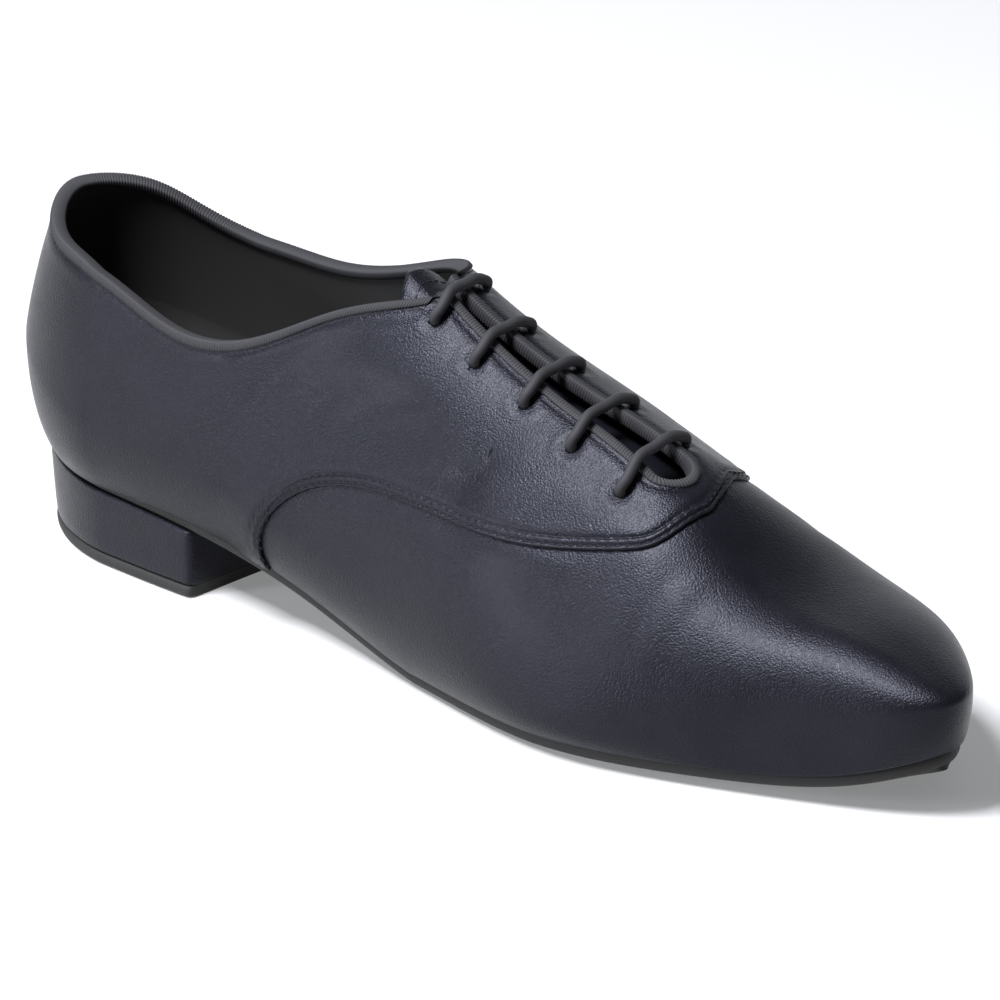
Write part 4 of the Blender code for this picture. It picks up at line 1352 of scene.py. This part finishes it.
class SHOE_OT_lace(bpy.types.Operator):
    """Lace: round braided cord in five bars"""

    bl_idname = "shoe.lace"
    bl_label = "Lace"

    def execute(self, context):
        last = Last()
        route = lace_route(last)
        travelled = lengths_along(route)
        fine = np.linspace(0, travelled[-1], 640)
        line = np.stack([curve_through(travelled, route[:, k], fine) for k in range(3)], 1)
        ways = unit(np.gradient(line, axis=0))
        side = np.cross(ways[0], (0, 0, 1.0))
        frames = []
        for direction in ways:
            side = unit(side - direction * (side @ direction))
            frames.append((side, np.cross(direction, side)))
        turns = np.linspace(0, 2 * math.pi, 17)
        rows = []
        for point, (one, two) in zip(line, frames):
            rows.append([point + (one * math.cos(t) + two * math.sin(t)) * last.s.lace / 2 for t in turns])
        mesh = skin_mesh("braided_lace", np.array(rows), keep_uvs=True)
        placed(last, "braided_lace", mesh, shared(cord_material, "black_cord", "cord"), "black_cord", "lace")
        return {"FINISHED"}


# The stage


# Lamps: azimuth and elevation in degrees as seen from the shoe, distance, width, height, watts, colour
LAMPS = {
    "key": (-11, 64, 1.35, 0.44, 0.44, 44, (0.96, 0.97, 1)),
    "side": (-28, 14, 1.25, 0.28, 0.28, 8, (0.93, 0.95, 1)),
    "backdrop": (222, 14, 1.8, 2.6, 0.7, 6, (0.93, 0.95, 1)),
}
LIT = Vector((0.10, 0, 0.03))

# The camera: azimuth, elevation and roll in degrees, distance from the point that it looks at, which
# is given from the last's back, and its lens as the length per sensor width
CAMERA_ANGLES = (44.888, 22.509, -0.772)
CAMERA_FAR = 1.940416
CAMERA_AIM = (0.143169, 0.001611, 0.031703)
CAMERA_LENS = 8.1729
CAMERA_SHIFT = (0.02237, 0.01271)


def towards(azimuth, elevation):
    """The direction of an azimuth and an elevation in degrees, as seen from the shoe."""
    a, e = math.radians(azimuth), math.radians(elevation)
    return Vector((math.sin(a) * math.cos(e), -math.cos(a) * math.cos(e), math.sin(e)))


def softbox(name, azimuth, elevation, far, wide, tall, power, colour):
    """A soft lamp turned to the shoe."""
    light = bpy.data.lights.new(name, "AREA")
    light.shape = "RECTANGLE"
    light.size = wide
    light.size_y = tall
    light.energy = power
    light.color = colour
    lamp = bpy.data.objects.new(name, light)
    away = towards(azimuth, elevation)
    lamp.location = LIT + away * far
    lamp.rotation_euler = away.to_track_quat("Z", "Y").to_euler()
    bpy.context.scene.collection.objects.link(lamp)


def photo_camera(last):
    """The camera at the photograph's angle."""
    azimuth, elevation, roll = CAMERA_ANGLES
    back = towards(azimuth, elevation)
    right = towards(azimuth + 90, 0)
    up = back.cross(right)
    roll = math.radians(roll)
    turned = right * math.cos(roll) + up * math.sin(roll)
    up = up * math.cos(roll) - right * math.sin(roll)
    camera = bpy.data.cameras.new("camera")
    camera.sensor_width = 36
    camera.lens = 36 * CAMERA_LENS
    camera.shift_x, camera.shift_y = CAMERA_SHIFT
    camera.clip_end = 50
    holder = bpy.data.objects.new("camera", camera)
    turn = Matrix((turned, up, back)).transposed().to_4x4()
    place = Vector(CAMERA_AIM) - Vector((last.middle, 0, 0)) + back * CAMERA_FAR
    holder.matrix_world = Matrix.Translation(place) @ turn
    bpy.context.scene.collection.objects.link(holder)
    return holder


class SHOE_OT_stage(bpy.types.Operator):
    """Stage: pale floor, soft light and the camera"""

    bl_idname = "shoe.stage"
    bl_label = "Stage"

    def execute(self, context):
        scene = context.scene
        shape = bmesh.new()
        bmesh.ops.create_grid(shape, x_segments=8, y_segments=8, size=6)
        floor = bpy.data.objects.new("floor", finish_shape("floor", shape))
        floor.data.transform(Matrix.Translation((0, 0, -0.0002)))
        scene.collection.objects.link(floor)
        made = new_material("pale_floor", {
            "Base Color": (*scene.shoe_colours.floor, 1), "Roughness": 0.6,
            "Emission Color": (0.98, 0.99, 1, 1), "Emission Strength": 0.22})[0]
        floor.data.materials.append(made)
        world = bpy.data.worlds.new("studio")
        world.use_nodes = True
        set_sockets(world.node_tree.nodes["Background"], {"Color": (0.88, 0.92, 1, 1), "Strength": 0.10})
        scene.world = world
        scene.view_settings.view_transform = "Standard"
        for name, lamp in LAMPS.items():
            softbox(name, *lamp)
        scene.camera = photo_camera(Last())
        return {"FINISHED"}


PIECES = (SHOE_OT_vamp, SHOE_OT_quarters, SHOE_OT_lining, SHOE_OT_binding, SHOE_OT_tongue, SHOE_OT_insole,
          SHOE_OT_outsole, SHOE_OT_heel, SHOE_OT_lace, SHOE_OT_stage)


class SHOE_PT_panel(bpy.types.Panel):
    """Lists the shoe's pieces"""

    bl_idname = "SHOE_PT_panel"
    bl_label = "Ballroom shoe"
    bl_space_type = "VIEW_3D"
    bl_region_type = "UI"
    bl_category = "Shoe"

    def draw(self, context):
        for piece in PIECES:
            self.layout.operator(piece.bl_idname)


CLASSES = (ShoeSizes, ShoeColours) + PIECES + (SHOE_PT_panel,)


def register():
    for item in CLASSES:
        bpy.utils.register_class(item)
    bpy.types.Scene.shoe_sizes = PointerProperty(type=ShoeSizes)
    bpy.types.Scene.shoe_colours = PointerProperty(type=ShoeColours)


def unregister():
    del bpy.types.Scene.shoe_colours
    del bpy.types.Scene.shoe_sizes
    for item in reversed(CLASSES):
        bpy.utils.unregister_class(item)


def main():
    register()
    bpy.ops.shoe.vamp()
    bpy.ops.shoe.quarters()
    bpy.ops.shoe.lining()
    bpy.ops.shoe.binding()
    bpy.ops.shoe.tongue()
    bpy.ops.shoe.insole()
    bpy.ops.shoe.outsole()
    bpy.ops.shoe.heel()
    bpy.ops.shoe.lace()
    bpy.ops.shoe.stage()


if __name__ == "__main__":
    main()
